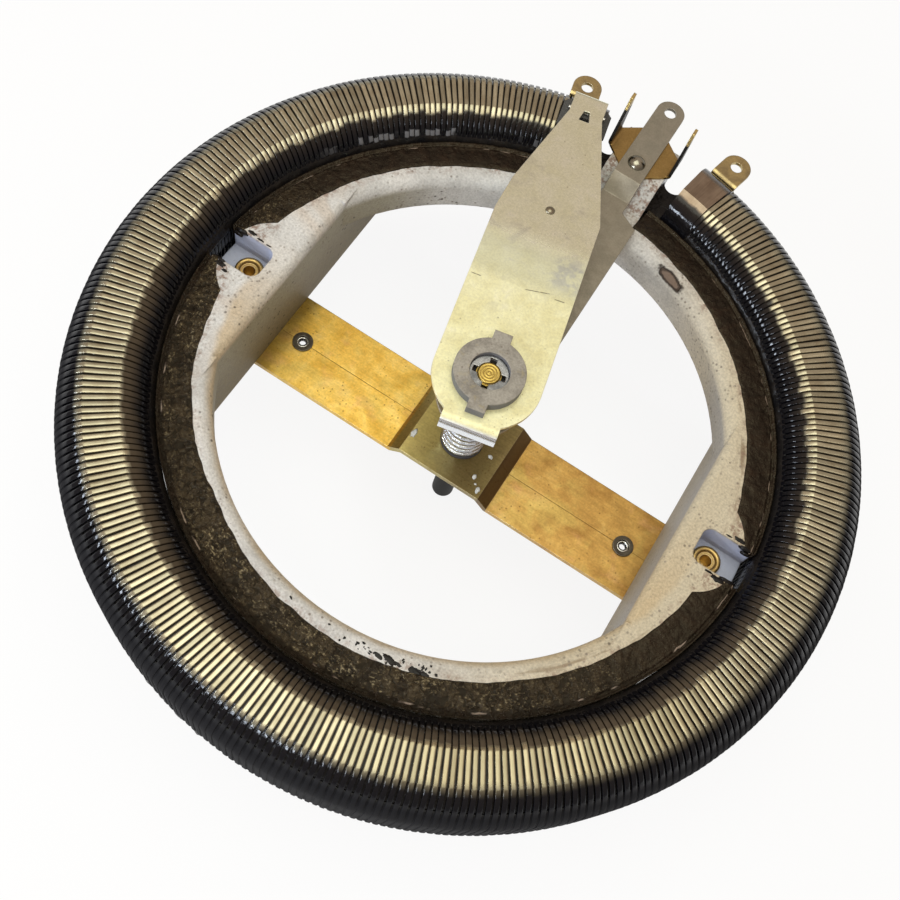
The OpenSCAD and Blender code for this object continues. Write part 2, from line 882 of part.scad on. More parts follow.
// Plan of the arm: round rear, broad blade with one corner cut back, and narrow tip
module arm_plan() {
    taper = (arm_w - tip_w)/2/(neck_u - shoulder_u);
    circle(d = arm_w);
    polygon([
        [0, -arm_w/2],
        [shoulder_u, -arm_w/2],
        [neck_u, -tip_w/2],
        [tip_u + cut, -tip_w/2],
        [tip_u + cut, tip_w/2],
        [neck_u, tip_w/2],
        [shoulder_u + shoulder_cut, arm_w/2 - shoulder_cut*taper],
        [shoulder_u - shoulder_cut, arm_w/2],
        [0, arm_w/2]
    ]);
}

// Side of the arm with the fold at its tip
module arm_profile() {
    rear = lip_bend + arm_t - lip_u;
    bend_u = tip_u - tip_round;
    bend_z = arm_top(bend_u) - tip_round/cos(arm_slope);
    fold_z = arm_top(tip_u) - tip_fold;
    turn = [for (i = [0 : 4]) (90 - arm_slope)*(1 - i/4)];
    outside = [for (a = turn) [bend_u + tip_round*cos(a), bend_z + tip_round*sin(a)]];
    inside = [for (i = [4 : -1 : 0]) [bend_u + tip_bend*cos(turn[i]), bend_z + tip_bend*sin(turn[i])]];
    polygon(concat(
        [[rear, arm_top_z], [crease_u, arm_top_z]],
        outside,
        [[tip_u, fold_z], [tip_u - arm_t, fold_z]],
        inside,
        [[crease_u, arm_z], [rear, arm_z]]
    ));
}

// Side of a strip along the arm's level rear and falling front, down from the arm's top
module arm_side(thick) {
    rear = lip_bend + arm_t - lip_u;
    front = tip_u - tip_round;
    polygon([
        [rear, arm_top_z - thick],
        [crease_u, arm_top_z - thick],
        [front, arm_top(front) - thick],
        [front, arm_top(front)],
        [crease_u, arm_top_z],
        [rear, arm_top_z]
    ]);
}

module arm_window() {
    translate([window_u, 0]) polygon([
        [0, -window_w/2],
        [0, window_w/2],
        [window_l, window_tip_w/2],
        [window_l, -window_tip_w/2]
    ]);
}

module contact_arm() {
    ear_end = tip_u - tip_round;
    ear_h = arm_top(ear_end) - arm_t/2 - ear_z;
    color("lightgoldenrodyellow") at_rest() difference() {
        union() {
            intersection() {
                across(arm_w + cut) arm_profile();
                linear_extrude(hub_top_z) arm_plan();
            }
            across(lip_w) translate([-lip_u, arm_top_z]) mirror([0, 1])
                bend_section(lip_lap, lip_h, arm_t, lip_bend);
            for (side = [0, 1]) mirror([0, side, 0])
                translate([neck_u, tip_w/2 - ear_t, ear_z]) cube([ear_end - neck_u, ear_t, ear_h]);
        }
        linear_extrude(hub_top_z) key_plan(key_reach + slide_gap, ear_w + 2*slide_gap, neck_r + slide_gap);
        at_arm_rivet() cylinder(d = arm_rivet_d + 2*fit_gap, h = hub_top_z, center = true);
        linear_extrude(hub_top_z) arm_window();
        brush_axis(tip_w + cut, pin_d + 2*fit_gap);
    }
}

// Square to the arm's sloping top, at its rivet
module at_arm_rivet() {
    translate([arm_rivet_u, 0, arm_top(arm_rivet_u)]) rotate([0, arm_slope, 0]) children();
}

// Cylinder along the brush pin's axis
module brush_axis(l, d) {
    translate([track_r, 0, pin_z]) rotate([90, 0, 0]) cylinder(d = d, h = l, center = true);
}

// Flanged sleeve beneath the arm that slides on the collector's ring
module slip_ring() {
    color("tan") at_rest() difference() {
        union() {
            translate([0, 0, slip_z]) cylinder(d = blade_ring_d - 2, h = slip_flange_t);
            translate([0, 0, slip_z]) cylinder(r = shank_r + 3.4, h = arm_z - slip_z);
        }
        cylinder(r = shank_r + slide_gap, h = arm_z + cut);
    }
}

// Leaf spring riveted beneath the arm, bearing on the brush
module pressure_leaf() {
    leaf_end = track_r + boss_l/2 - slide_gap;
    top_gap = arm_t + fit_gap;
    color("steelblue") at_rest() difference() {
        intersection() {
            across(leaf_w) difference() {
                arm_side(top_gap + leaf_t);
                arm_side(top_gap);
            }
            linear_extrude(hub_top_z) {
                translate([arm_rivet_u, -leaf_w/2]) square([leaf_end - arm_rivet_u, leaf_w]);
                translate([arm_rivet_u, 0]) circle(d = leaf_w);
            }
        }
        at_arm_rivet() cylinder(d = arm_rivet_d + 2*fit_gap, h = hub_top_z, center = true);
        linear_extrude(hub_top_z) arm_window();
    }
}

module arm_rivet() {
    tail_h = 0.8;
    grip = arm_t + fit_gap + leaf_t;
    color("silver") at_rest() at_arm_rivet() {
        translate([0, 0, fit_gap]) dome(arm_rivet_head_d, arm_rivet_head_h);
        translate([0, 0, -grip - fit_gap]) cylinder(d = arm_rivet_d, h = grip + 2*fit_gap);
        translate([0, 0, -grip - fit_gap - tail_h]) cylinder(d = arm_rivet_head_d, h = tail_h);
    }
}

// Plan of the brush's shoe, with its corners cut off
module shoe_plan() {
    half_l = brush_l/2;
    half_w = brush_w/2;
    translate([brush_u, 0]) polygon([
        [-half_l + brush_corner, -half_w],
        [half_l - brush_corner, -half_w],
        [half_l, -half_w + brush_corner],
        [half_l, half_w - brush_corner],
        [half_l - brush_corner, half_w],
        [-half_l + brush_corner, half_w],
        [-half_l, half_w - brush_corner],
        [-half_l, -half_w + brush_corner]
    ]);
}

// Brush: a broad shoe on the track and a boss between the arm's ears
module contact_brush() {
    color("dimgray") at_rest() difference() {
        translate([0, 0, brush_sole_z]) {
            linear_extrude(shoe_t) shoe_plan();
            translate([track_r - boss_l/2, -boss_w/2, 0]) cube([boss_l, boss_w, boss_top_z - brush_sole_z]);
        }
        brush_axis(brush_w + cut, pin_d + 2*fit_gap);
    }
}

module brush_pin() {
    color("silver") at_rest() brush_axis(tip_w + 2*pin_over, pin_d);
}

ceramic_base();
winding_core();
resistance_winding();
enamel_bond();
end_band_left();
end_band_right();
end_terminal_left();
end_terminal_right();
stop_plate();
plate_screw();
plate_insert();
gap_enamel();
collector_blade();
collector_rivet();
bridge_strap();
strap_rivets();
mounting_inserts();
shaft_bushing();
bushing_nut();
bushing_lockwasher();
spring_seat();
compression_spring();
insulating_washer();
shaft();
shaft_clip();
arm_hub();
star_ring();
contact_arm();
slip_ring();
pressure_leaf();
arm_rivet();
contact_brush();
brush_pin();
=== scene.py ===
"""Looks of the rotary rheostat: materials, the wound ribbon, the enamel, small marks, light and camera.

Metres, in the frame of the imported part: +Z along the shaft away from the panel, +X along the strap,
+Y towards the terminals, origin on the shaft's axis at the strap's underside.
"""

import math

import bmesh
import bpy
import numpy as np
from mathutils import Matrix, Vector, noise


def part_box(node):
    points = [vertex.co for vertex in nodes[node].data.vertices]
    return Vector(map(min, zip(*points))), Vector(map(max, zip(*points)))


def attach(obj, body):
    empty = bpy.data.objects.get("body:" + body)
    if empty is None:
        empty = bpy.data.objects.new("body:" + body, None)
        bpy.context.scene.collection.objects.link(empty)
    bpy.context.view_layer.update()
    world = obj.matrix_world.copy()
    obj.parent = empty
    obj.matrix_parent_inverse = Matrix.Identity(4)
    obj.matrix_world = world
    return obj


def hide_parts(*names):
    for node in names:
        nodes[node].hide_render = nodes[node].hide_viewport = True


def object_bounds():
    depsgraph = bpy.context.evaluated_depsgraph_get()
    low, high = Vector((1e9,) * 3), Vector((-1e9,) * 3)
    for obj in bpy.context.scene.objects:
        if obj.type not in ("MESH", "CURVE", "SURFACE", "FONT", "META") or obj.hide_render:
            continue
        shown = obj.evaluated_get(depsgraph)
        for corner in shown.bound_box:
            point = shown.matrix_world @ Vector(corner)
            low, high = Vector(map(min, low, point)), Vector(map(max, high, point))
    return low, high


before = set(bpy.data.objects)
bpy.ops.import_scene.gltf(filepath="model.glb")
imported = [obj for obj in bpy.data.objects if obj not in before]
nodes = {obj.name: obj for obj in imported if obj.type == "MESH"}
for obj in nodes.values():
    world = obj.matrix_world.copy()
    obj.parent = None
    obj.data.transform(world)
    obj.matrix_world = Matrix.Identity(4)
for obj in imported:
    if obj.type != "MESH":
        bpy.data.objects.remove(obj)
cad_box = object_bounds()
MM = 0.001

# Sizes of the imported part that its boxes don't give, in millimetres
TUBE_INNER = 117.0
TUBE_OUTER = 152.4
TUBE_LOW = 4.0
TRACK_Z = 53.1
TOP_ROUND = 17.6
LOW_ROUND = 11.0
TRACK_FLAT = 1.1
LAND_Z = 44.0
BOND_REBATE = 106.9
LOBE_X = 92.0
LOBE_R = 22.0
NOTCH_HALF = 7.5
TONGUE_HALF = 12.0
STRAP_WING_Z = 2.5
STRAP_CENTRE_Z = 7.0
STRAP_RAMP = (18.5, 23.5)
INSERT_X = 77.3
INSERT_BORE = 5.1
INSERT_TOP = 3.3
ARM_REST = math.radians(102.7)

# The oval pit in the land's rounded edge, in metres: its angle runs from -Y towards +X
PIT_ANGLE = math.radians(159.0)
PIT_RADIUS = 0.0968
PIT_HALF_LENGTH = 0.0068
PIT_HALF_WIDTH = 0.0030
LAND_EDGE = 0.0985

# The ribbon, in millimetres. The crown lists places across it, as shares of its width, and how far they lie
# below its top, as shares of its depth.
TURNS = 320
FIRST_TURN = math.radians(105.6)
TURN_PITCH = math.radians(328.8) / (TURNS - 1)
LAST_TURN = FIRST_TURN + TURN_PITCH * (TURNS - 1)
RIBBON_WIDTH = 1.85
RIBBON_DEPTH = 1.2
RIBBON_CROWN = ((0.24, 0.008), (0.42, 0.035), (0.475, 0.12), (0.50, 0.34), (0.50, 1.0))
RIBBON_SEED = 7
RIBBON_SLIP = 0.035
RIBBON_LIFT = 0.05
SHARP_ANGLE = math.radians(50)

# Enamel between the turns and beside them, in millimetres
OUTER_STATIONS = 23
COAT_TOP = 48.5
COAT_SUNK = 0.36
COAT_LOOPS = 900
FILLET_FOOT = 40.5
FILLET_TOP = 45.8
FILLET_LOOPS = 1500
FILLET_ROWS = 9
BOND_ROWS = 22
BOND_STEP = 0.55
SPECK_SEED = 21
SPECKS = 44

# Camera, solved from the part's own sizes; the aim's sideways turn is a share of its distance
CAMERA_PLACE = (0.0365, -0.1867, 0.4250)
CAMERA_AHEAD = (-0.082, 0.394, -0.915)
CAMERA_UP = (-0.537, 0.756, 0.374)
AIM_SHIFT = 1.5 / 1140
LENS_MM = 45.61
SENSOR_MM = 36.0

# Stage: half the floor's width, the share of plain white that rays from the camera see on it, and the lamps
# (name, place, target, size, radiance, colour)
FLOOR_REACH = 6.0
FLOOR_GLOW = 0.88
LAMPS = (
    ("overhead", (-0.07, -0.06, 1.25), (-0.02, 0.0, 0.0), (1.0, 1.1), 2.1, (0.96, 1.0, 0.86)),
    ("window", (-0.18, -1.03, 0.71), (0.0, 0.0, 0.03), (0.6, 0.07), 30.0, (0.78, 0.87, 1.0)),
    ("side_window", (-0.80, -0.68, 0.46), (0.0, 0.0, 0.03), (0.7, 0.06), 30.0, (0.78, 0.87, 1.0)),
)


class Graph:
    """One procedural material: adds nodes, links them and feeds the Principled shader. Sizes are metres."""

    def __init__(self, name):
        self.material = bpy.data.materials.new(name)
        self.material.use_nodes = True
        self.tree = self.material.node_tree
        self.shader = self.tree.nodes["Principled BSDF"]
        self.point = self.add("ShaderNodeTexCoord").outputs["Object"]
        split = self.add("ShaderNodeSeparateXYZ")
        self.feed(split.inputs[0], self.point)
        self.x, self.y, self.z = split.outputs

    def add(self, kind, **settings):
        node = self.tree.nodes.new(kind)
        for name, value in settings.items():
            setattr(node, name, value)
        return node

    def feed(self, socket, value):
        if isinstance(value, bpy.types.NodeSocket):
            self.tree.links.new(value, socket)
        elif socket.type == "RGBA":
            socket.default_value = (*value[:3], 1.0)
        else:
            socket.default_value = value

    def math(self, operation, *values):
        node = self.add("ShaderNodeMath", operation=operation)
        for socket, value in zip(node.inputs, values):
            self.feed(socket, value)
        return node.outputs[0]

    def plus(self, first, second):
        return self.math("ADD", first, second)

    def minus(self, first, second):
        return self.math("SUBTRACT", first, second)

    def size(self, value):
        return self.math("ABSOLUTE", value)

    def times(self, first, *others):
        for other in others:
            first = self.math("MULTIPLY", first, other)
        return first

    def radius(self):
        square = self.plus(self.times(self.x, self.x), self.times(self.y, self.y))
        return self.math("SQRT", square)

    def angle(self):
        """Angle about the shaft from -Y, growing towards +X; it jumps only in the gap at +Y."""
        return self.math("ARCTAN2", self.x, self.times(self.y, -1.0))

    def along(self, direction):
        node = self.add("ShaderNodeVectorMath", operation="DOT_PRODUCT")
        self.feed(node.inputs[0], self.point)
        self.feed(node.inputs[1], direction)
        return node.outputs["Value"]

    def vector(self, x, y, z):
        node = self.add("ShaderNodeCombineXYZ")
        for socket, value in zip(node.inputs, (x, y, z)):
            self.feed(socket, value)
        return node.outputs[0]

    def ringwise(self, around=0.13):
        """Coordinates that follow the ring: along it at a fixed radius, across it, and up."""
        return self.vector(self.times(self.angle(), around), self.radius(), self.z)

    def step(self, value, low, high):
        node = self.add("ShaderNodeMapRange", interpolation_type="SMOOTHSTEP")
        for name, number in (("Value", value), ("From Min", low), ("From Max", high)):
            self.feed(node.inputs[name], number)
        return node.outputs[0]

    def span(self, value, low, high, soft):
        """1 between low and high, falling to 0 within soft outside them."""
        rise = self.step(value, low - soft, low)
        fall = self.step(value, high, high + soft)
        return self.times(rise, self.minus(1.0, fall))

    def scaled(self, size, stretch, at):
        node = self.add("ShaderNodeVectorMath", operation="MULTIPLY")
        self.feed(node.inputs[0], at or self.point)
        self.feed(node.inputs[1], tuple(s / size for s in stretch))
        return node.outputs[0]

    def noise(self, size, detail=3.0, rough=0.55, stretch=(1, 1, 1), warp=0.0, at=None):
        node = self.add("ShaderNodeTexNoise")
        self.feed(node.inputs["Vector"], self.scaled(size, stretch, at))
        settings = {"Scale": 1.0, "Detail": detail, "Roughness": rough, "Distortion": warp}
        for name, value in settings.items():
            self.feed(node.inputs[name], value)
        return node.outputs["Fac"]

    def cells(self, size, stretch=(1, 1, 1), at=None):
        """Distance to the nearest of scattered points, about 0 to 1."""
        node = self.add("ShaderNodeTexVoronoi", feature="F1")
        self.feed(node.inputs["Vector"], self.scaled(size, stretch, at))
        self.feed(node.inputs["Scale"], 1.0)
        return node.outputs["Distance"]

    def dots(self, size, share, amount_size=0.012):
        """Small spots about size apart, grouped by a coarse noise so that they don't lie in a grid."""
        near = self.minus(1.0, self.step(self.cells(size), share * 0.4, share))
        return self.times(near, self.step(self.noise(amount_size), 0.42, 0.62))

    def blend(self, factor, first, second):
        node = self.add("ShaderNodeMix", data_type="RGBA")
        self.feed(node.inputs[0], factor)
        self.feed(node.inputs[6], first)
        self.feed(node.inputs[7], second)
        return node.outputs[2]

    def lerp(self, factor, first, second):
        node = self.add("ShaderNodeMix", data_type="FLOAT")
        self.feed(node.inputs[0], factor)
        self.feed(node.inputs[2], first)
        self.feed(node.inputs[3], second)
        return node.outputs[0]

    def shade(self, color, factor, low, high):
        """The colour times a number from low to high as factor goes from 0 to 1."""
        node = self.add("ShaderNodeMix", data_type="RGBA", blend_type="MULTIPLY")
        level = self.lerp(factor, low, high)
        self.feed(node.inputs[0], 1.0)
        self.feed(node.inputs[6], color)
        self.feed(node.inputs[7], self.vector(level, level, level))
        return node.outputs[2]

    def ramp(self, factor, *stops):
        node = self.add("ShaderNodeValToRGB")
        bar = node.color_ramp.elements
        while len(bar) < len(stops):
            bar.new(0.5)
        for element, (place, color) in zip(bar, stops):
            element.position = place
            element.color = (*color, 1.0)
        self.feed(node.inputs[0], factor)
        return node.outputs["Color"]

    def soft_edge(self, size=0.0004):
        node = self.add("ShaderNodeBevel", samples=6)
        self.feed(node.inputs["Radius"], size)
        return node.outputs["Normal"]

    def edges(self, size=0.0006):
        """1 along sharp edges and 0 on open faces."""
        node = self.add("ShaderNodeVectorMath", operation="DOT_PRODUCT")
        self.feed(node.inputs[0], self.soft_edge(size))
        self.feed(node.inputs[1], self.add("ShaderNodeNewGeometry").outputs["Normal"])
        return self.step(node.outputs["Value"], 0.999, 0.85)

    def bump(self, *layers, normal=None):
        """Layers of (height 0 to 1, depth in metres), coarse first."""
        for height, depth in layers:
            node = self.add("ShaderNodeBump")
            self.feed(node.inputs["Strength"], 1.0)
            self.feed(node.inputs["Distance"], depth)
            self.feed(node.inputs["Height"], height)
            if normal:
                self.feed(node.inputs["Normal"], normal)
            normal = node.outputs["Normal"]
        return normal

    def finish(self, **sockets):
        names = {"color": "Base Color", "level": "Specular IOR Level", "tint": "Specular Tint"}
        for name, value in sockets.items():
            self.feed(self.shader.inputs[names.get(name, name.capitalize())], value)
        return self.material


def porcelain():
    """White fired body: cool land, beige right side, yellowed inner edge, stains and one pit with a painted
    shade on its rim; painted olive and taupe shade on the chord walls, darker towards their foot, and painted
    blue light in the notches.
    """
    g = Graph("porcelain")
    grain = g.noise(0.0009, detail=4)
    cloud = g.noise(0.016, detail=3)
    wide = g.noise(0.030, detail=2, warp=0.6)
    color = g.blend(g.step(cloud, 0.35, 0.65), (0.58, 0.575, 0.56), (0.71, 0.705, 0.69))
    right = g.step(g.plus(g.x, g.times(cloud, 0.02)), 0.025, 0.095)
    color = g.blend(g.times(right, 0.85), color, (0.60, 0.52, 0.36))
    left = g.step(g.minus(g.times(cloud, 0.02), g.x), 0.080, 0.104)
    color = g.blend(g.times(left, g.step(wide, 0.40, 0.60), 0.6), color, (0.60, 0.51, 0.42))
    edge = g.minus(1.0, g.step(g.plus(g.radius(), g.times(cloud, 0.004)), 0.0990, 0.1025))
    near = g.step(g.y, 0.020, -0.040)
    color = g.blend(g.times(edge, near, 0.75), color, (0.57, 0.44, 0.26))
    ring = g.ringwise(0.1)
    streak = g.times(g.step(g.noise(0.0035, detail=4, stretch=(0.18, 1.0, 1.0), at=ring), 0.50, 0.66),
                     g.step(g.radius(), 0.0985, 0.1035), right)
    color = g.blend(g.times(streak, 0.75), color, (0.22, 0.15, 0.08))
    # painted shade: the chord walls are painted olive on the left and taupe on the right, darker towards their
    # foot
    wall = g.step(g.z, 0.0418, 0.0385)
    sunk = g.step(g.z, 0.040, 0.006)
    olive = g.blend(sunk, (0.34, 0.32, 0.235), (0.20, 0.165, 0.09))
    taupe = g.blend(sunk, (0.40, 0.385, 0.36), (0.36, 0.31, 0.23))
    side = g.blend(g.step(g.x, -0.02, 0.02), olive, taupe)
    color = g.blend(g.times(wall, g.step(g.size(g.x), 0.060, 0.080), 0.9), color, side)
    color = g.shade(color, g.step(grain, 0.3, 0.7), 0.80, 1.06)
    color = g.blend(g.times(g.dots(0.0020, 0.34), 0.8), color, (0.20, 0.17, 0.14))
    color = g.blend(g.times(g.dots(0.0040, 0.19, 0.03), 0.9), color, (0.05, 0.04, 0.03))
    rim = g.step(g.plus(g.radius(), g.times(g.noise(0.006), 0.006)), 0.1035, 0.1090)
    rust = g.times(rim, g.step(g.noise(0.0016, detail=5, rough=0.65), 0.44, 0.60),
                   g.step(g.noise(0.009, detail=2), 0.38, 0.55), g.step(g.z, 0.0412, 0.0430))
    color = g.blend(g.times(rust, 0.85), color, (0.24, 0.15, 0.11))
    off_axis = g.size(g.x)
    notch = g.times(g.step(g.size(g.y), 0.0078, 0.0074), g.step(off_axis, 0.0950, 0.0958),
                    g.step(g.z, 0.0438, 0.0425))
    # painted light and shade: the notches' walls and floor are painted blue for the cool window light in these
    # hollows
    color = g.blend(g.times(notch, 0.9), color, (0.50, 0.55, 0.72))
    tongue = g.times(g.step(off_axis, 0.01185, 0.01195), g.step(g.y, 0.100, 0.104),
                     g.step(off_axis, 0.0130, 0.0125))
    color = g.blend(tongue, color, (0.012, 0.011, 0.012))
    turn = g.times(g.minus(g.angle(), PIT_ANGLE), PIT_RADIUS / PIT_HALF_LENGTH)
    across = g.plus(g.minus(g.radius(), LAND_EDGE), g.minus(g.z, LAND_Z * MM))
    across = g.times(across, 1 / PIT_HALF_WIDTH)
    oval = g.math("SQRT", g.plus(g.times(turn, turn), g.times(across, across)))
    oval = g.plus(oval, g.times(g.minus(g.noise(0.003, detail=3), 0.5), 0.9))
    pit = g.step(oval, 1.0, 0.86)
    color = g.blend(g.times(pit, 0.95), color, (0.17, 0.115, 0.085))
    # painted shade: a dark, uneven ring round the pit's rim
    pit_rim_painted_shade = g.times(g.span(oval, 0.74, 1.02, 0.20), g.lerp(g.noise(0.004, detail=2), 0.5, 1.1))
    color = g.blend(pit_rim_painted_shade, color, (0.025, 0.014, 0.010))
    pits = g.step(g.cells(0.0016), 0.05, 0.25)
    normal = g.bump((g.minus(1.0, pit), 0.0012), (g.noise(0.004, detail=3), 0.0003),
                    (grain, 0.00014), (pits, 0.00012), normal=g.soft_edge(0.0009))
    rough = g.lerp(tongue, g.lerp(grain, 0.48, 0.72), 0.2)
    return g.finish(color=color, roughness=rough, level=0.35, normal=normal)


def black_enamel():
    """Fired black enamel, glossy, thin and brownish in places."""
    g = Graph("black_enamel")
    flow = g.noise(0.006, detail=3)
    color = g.ramp(flow, (0.3, (0.005, 0.005, 0.006)), (0.7, (0.014, 0.011, 0.009)))
    rough = g.lerp(g.step(g.noise(0.003), 0.35, 0.7), 0.12, 0.34)
    normal = g.bump((flow, 0.0007), (g.noise(0.0012, detail=4), 0.00012))
    return g.finish(color=color, roughness=rough, level=0.2, normal=normal)


def brown_enamel():
    """Thick chocolate enamel: smooth at the far and right sides, crinkled at the near left, where it carries a
    painted lighter sheen, painted gold glints and painted shade in its creases; a painted pale glint line runs
    beside the winding.
    """
    g = Graph("brown_enamel")
    ring = g.ringwise(0.11)
    streak = g.noise(0.005, detail=4, stretch=(1.0, 0.45, 1.0), warp=0.5, at=ring)
    crinkle = g.noise(0.0018, detail=5, rough=0.65, warp=0.8)
    grain = g.noise(0.0006, detail=3, rough=0.6)
    color = g.ramp(streak, (0.32, (0.005, 0.0027, 0.0017)), (0.55, (0.010, 0.0052, 0.0032)),
                   (0.80, (0.020, 0.010, 0.0055)))
    glint = g.noise(0.0007, detail=2, rough=0.6, stretch=(0.6, 1.0, 1.0), at=ring)
    crinkled = g.step(g.plus(g.y, g.times(g.x, 0.5)), 0.010, -0.060)
    lit = g.times(crinkled, g.step(g.radius(), 0.1150, 0.1136))
    # painted sheen: the near-left crinkle is painted lighter olive-brown where the lamp's reflection falls
    color = g.blend(g.times(lit, g.step(streak, 0.36, 0.60), 0.6), color, (0.050, 0.036, 0.019))
    # painted highlight: small gold glints on the crinkle's crests
    painted_glint = g.times(g.step(glint, 0.50, 0.64), lit, g.step(crinkle, 0.46, 0.62))
    painted_glint = g.times(painted_glint, g.lerp(g.step(g.noise(0.012, detail=3), 0.40, 0.62), 0.2, 1.0))
    color = g.blend(g.times(painted_glint, 0.9), color, (0.36, 0.295, 0.17))
    # painted shade: darker in the crinkle's creases, most at the near left
    color = g.shade(color, g.step(crinkle, 0.36, 0.52), g.lerp(crinkled, 0.6, 0.12), 1.0)
    # painted highlight: a broken pale glint line beside the winding
    line = g.times(g.span(g.plus(g.radius(), g.times(streak, 0.0012)), 0.1154, 0.1157, 0.0002),
                   g.step(g.noise(0.011, detail=3, stretch=(1.0, 0.2, 1.0), at=ring), 0.53, 0.60))
    color = g.blend(g.times(line, 0.8), color, (0.46, 0.36, 0.29))
    rough = g.lerp(g.step(crinkle, 0.35, 0.65), 0.15, 0.30)
    normal = g.bump((streak, 0.0009), (crinkle, g.lerp(crinkled, 0.0004, 0.0012)), (grain, 0.00015))
    return g.finish(color=color, roughness=rough, level=0.4, tint=(1.0, 0.86, 0.62), normal=normal)


def track_mix(g, tone, light=(0.52, 0.48, 0.35), dark=(0.38, 0.32, 0.215)):
    """Bare ground alloy on the track and black enamel below; beside the track the black turns brown, partly thin
    enamel and partly painted sheen; painted grey reflection dashes on the inner wall and painted darker metal
    towards the near right.

    Each turn's tone, from 0 to 1, also shifts the border between metal and enamel.
    """
    wander = g.times(g.minus(g.noise(0.004, detail=2), 0.5), 0.0014)
    ragged = g.plus(wander, g.times(g.minus(tone, 0.5), 0.0016))
    reach = g.plus(g.radius(), ragged)
    far = g.step(g.y, -0.06, 0.05)
    right = g.step(g.x, -0.02, 0.09)
    near = g.step(g.y, -0.040, -0.110)
    black_at = g.lerp(right, g.lerp(near, 0.1450, 0.1438), 0.1438)
    bare_at = g.lerp(right, g.lerp(near, 0.1414, 0.1412), 0.1374)
    outer = g.step(g.plus(g.radius(), g.times(ragged, 0.5)), black_at, bare_at)
    inner = g.step(g.plus(reach, g.times(far, 0.0018)), 0.1266, 0.1281)
    bare = g.times(outer, inner, g.step(g.z, 0.0460, 0.0480))
    ring = g.ringwise()
    scratch = g.noise(0.0005, detail=3, stretch=(1.0, 0.06, 0.2), at=ring)
    stain = g.step(g.noise(0.007, detail=3, warp=0.4), 0.42, 0.70)
    metal = g.blend(g.times(stain, 0.6), light, dark)
    # painted reflection: the metal is painted darker and yellower towards the near right, where the track
    # reflects less light
    metal = g.blend(g.times(g.span(g.angle(), 0.50, 1.00, 0.45), 0.65), metal, (0.31, 0.255, 0.15))
    metal = g.shade(metal, tone, 0.74, 1.14)
    metal = g.shade(metal, g.step(scratch, 0.3, 0.7), 0.86, 1.06)
    flow = g.noise(0.0035, detail=3)
    inside = g.step(g.radius(), 0.1360, 0.1340)
    # brown on the inner shoulder beside the track, weaker at the far side: partly thin enamel, partly a painted
    # sheen on the ribs
    thin = g.times(g.step(reach, 0.1206, 0.1258), inside, g.lerp(far, 1.0, 0.25), g.step(g.z, 0.0440, 0.0470))
    coat = g.blend(thin, (0.003, 0.003, 0.005), (0.075, 0.056, 0.036))
    # painted reflection: grey dashes on the ribs of the inner wall at the far left
    painted_reflection_dash = g.times(g.span(g.plus(g.z, ragged), 0.0452, 0.0470, 0.0004), inside, g.step(g.y, 0.050, 0.070),
                     g.step(g.x, 0.0, -0.01), g.step(tone, 0.25, 0.35),
                     g.step(g.noise(0.014, detail=2), 0.40, 0.48))
    coat = g.blend(painted_reflection_dash, coat, (0.15, 0.15, 0.16))
    color = g.blend(bare, coat, metal)
    metal_rough = g.lerp(scratch, 0.22, 0.40)
    wall = g.step(g.radius(), 0.1466, 0.1498)
    coat_rough = g.lerp(wall, g.lerp(g.step(flow, 0.35, 0.7), 0.06, 0.13), 0.90)
    rough = g.lerp(bare, coat_rough, metal_rough)
    normal = g.bump((flow, g.lerp(bare, 0.00010, 0.00002)), (scratch, 0.000020))
    return g.finish(color=color, metallic=g.times(bare, 0.96), roughness=rough, level=0.30, normal=normal)


def winding():
    """The ribbon: each turn has its own tone, from the mesh's turn_tone values."""
    g = Graph("winding")
    tone = g.add("ShaderNodeAttribute", attribute_name="turn_tone").outputs["Fac"]
    return track_mix(g, tone)


def end_band():
    """The bands at the winding's ends: one sheet of the same alloy."""
    g = Graph("end_band")
    return track_mix(g, g.noise(0.012, detail=3), (0.34, 0.265, 0.20), (0.24, 0.175, 0.125))


def sheet_metal(name, light, dark, rough, metallic=1.0, speck=0.5, edge_wear_and_highlight=0.3):
    """Plated or bare sheet: mottled colour, fine drawing lines, dark specks and lighter edges, partly worn metal
    and partly painted highlight.
    """
    g = Graph(name)
    patch = g.noise(0.006, detail=4, rough=0.6, warp=0.3)
    fine = g.noise(0.0007, detail=3)
    color = g.blend(g.step(patch, 0.30, 0.72), dark, light)
    color = g.shade(color, g.step(fine, 0.3, 0.7), 0.90, 1.05)
    color = g.blend(g.times(g.dots(0.0030, 0.16), speck), color, tuple(0.22 * c for c in dark))
    # lighter edges: partly worn plating, partly a painted highlight
    color = g.blend(g.times(g.edges(), edge_wear_and_highlight), color, (0.85, 0.82, 0.74))
    spread = g.lerp(g.step(patch, 0.3, 0.7), rough * 1.2, rough * 0.85)
    normal = g.bump((g.noise(0.011, detail=2), 0.00015), (fine, 0.00002), normal=g.soft_edge())
    return g.finish(color=color, metallic=metallic, roughness=spread, normal=normal)


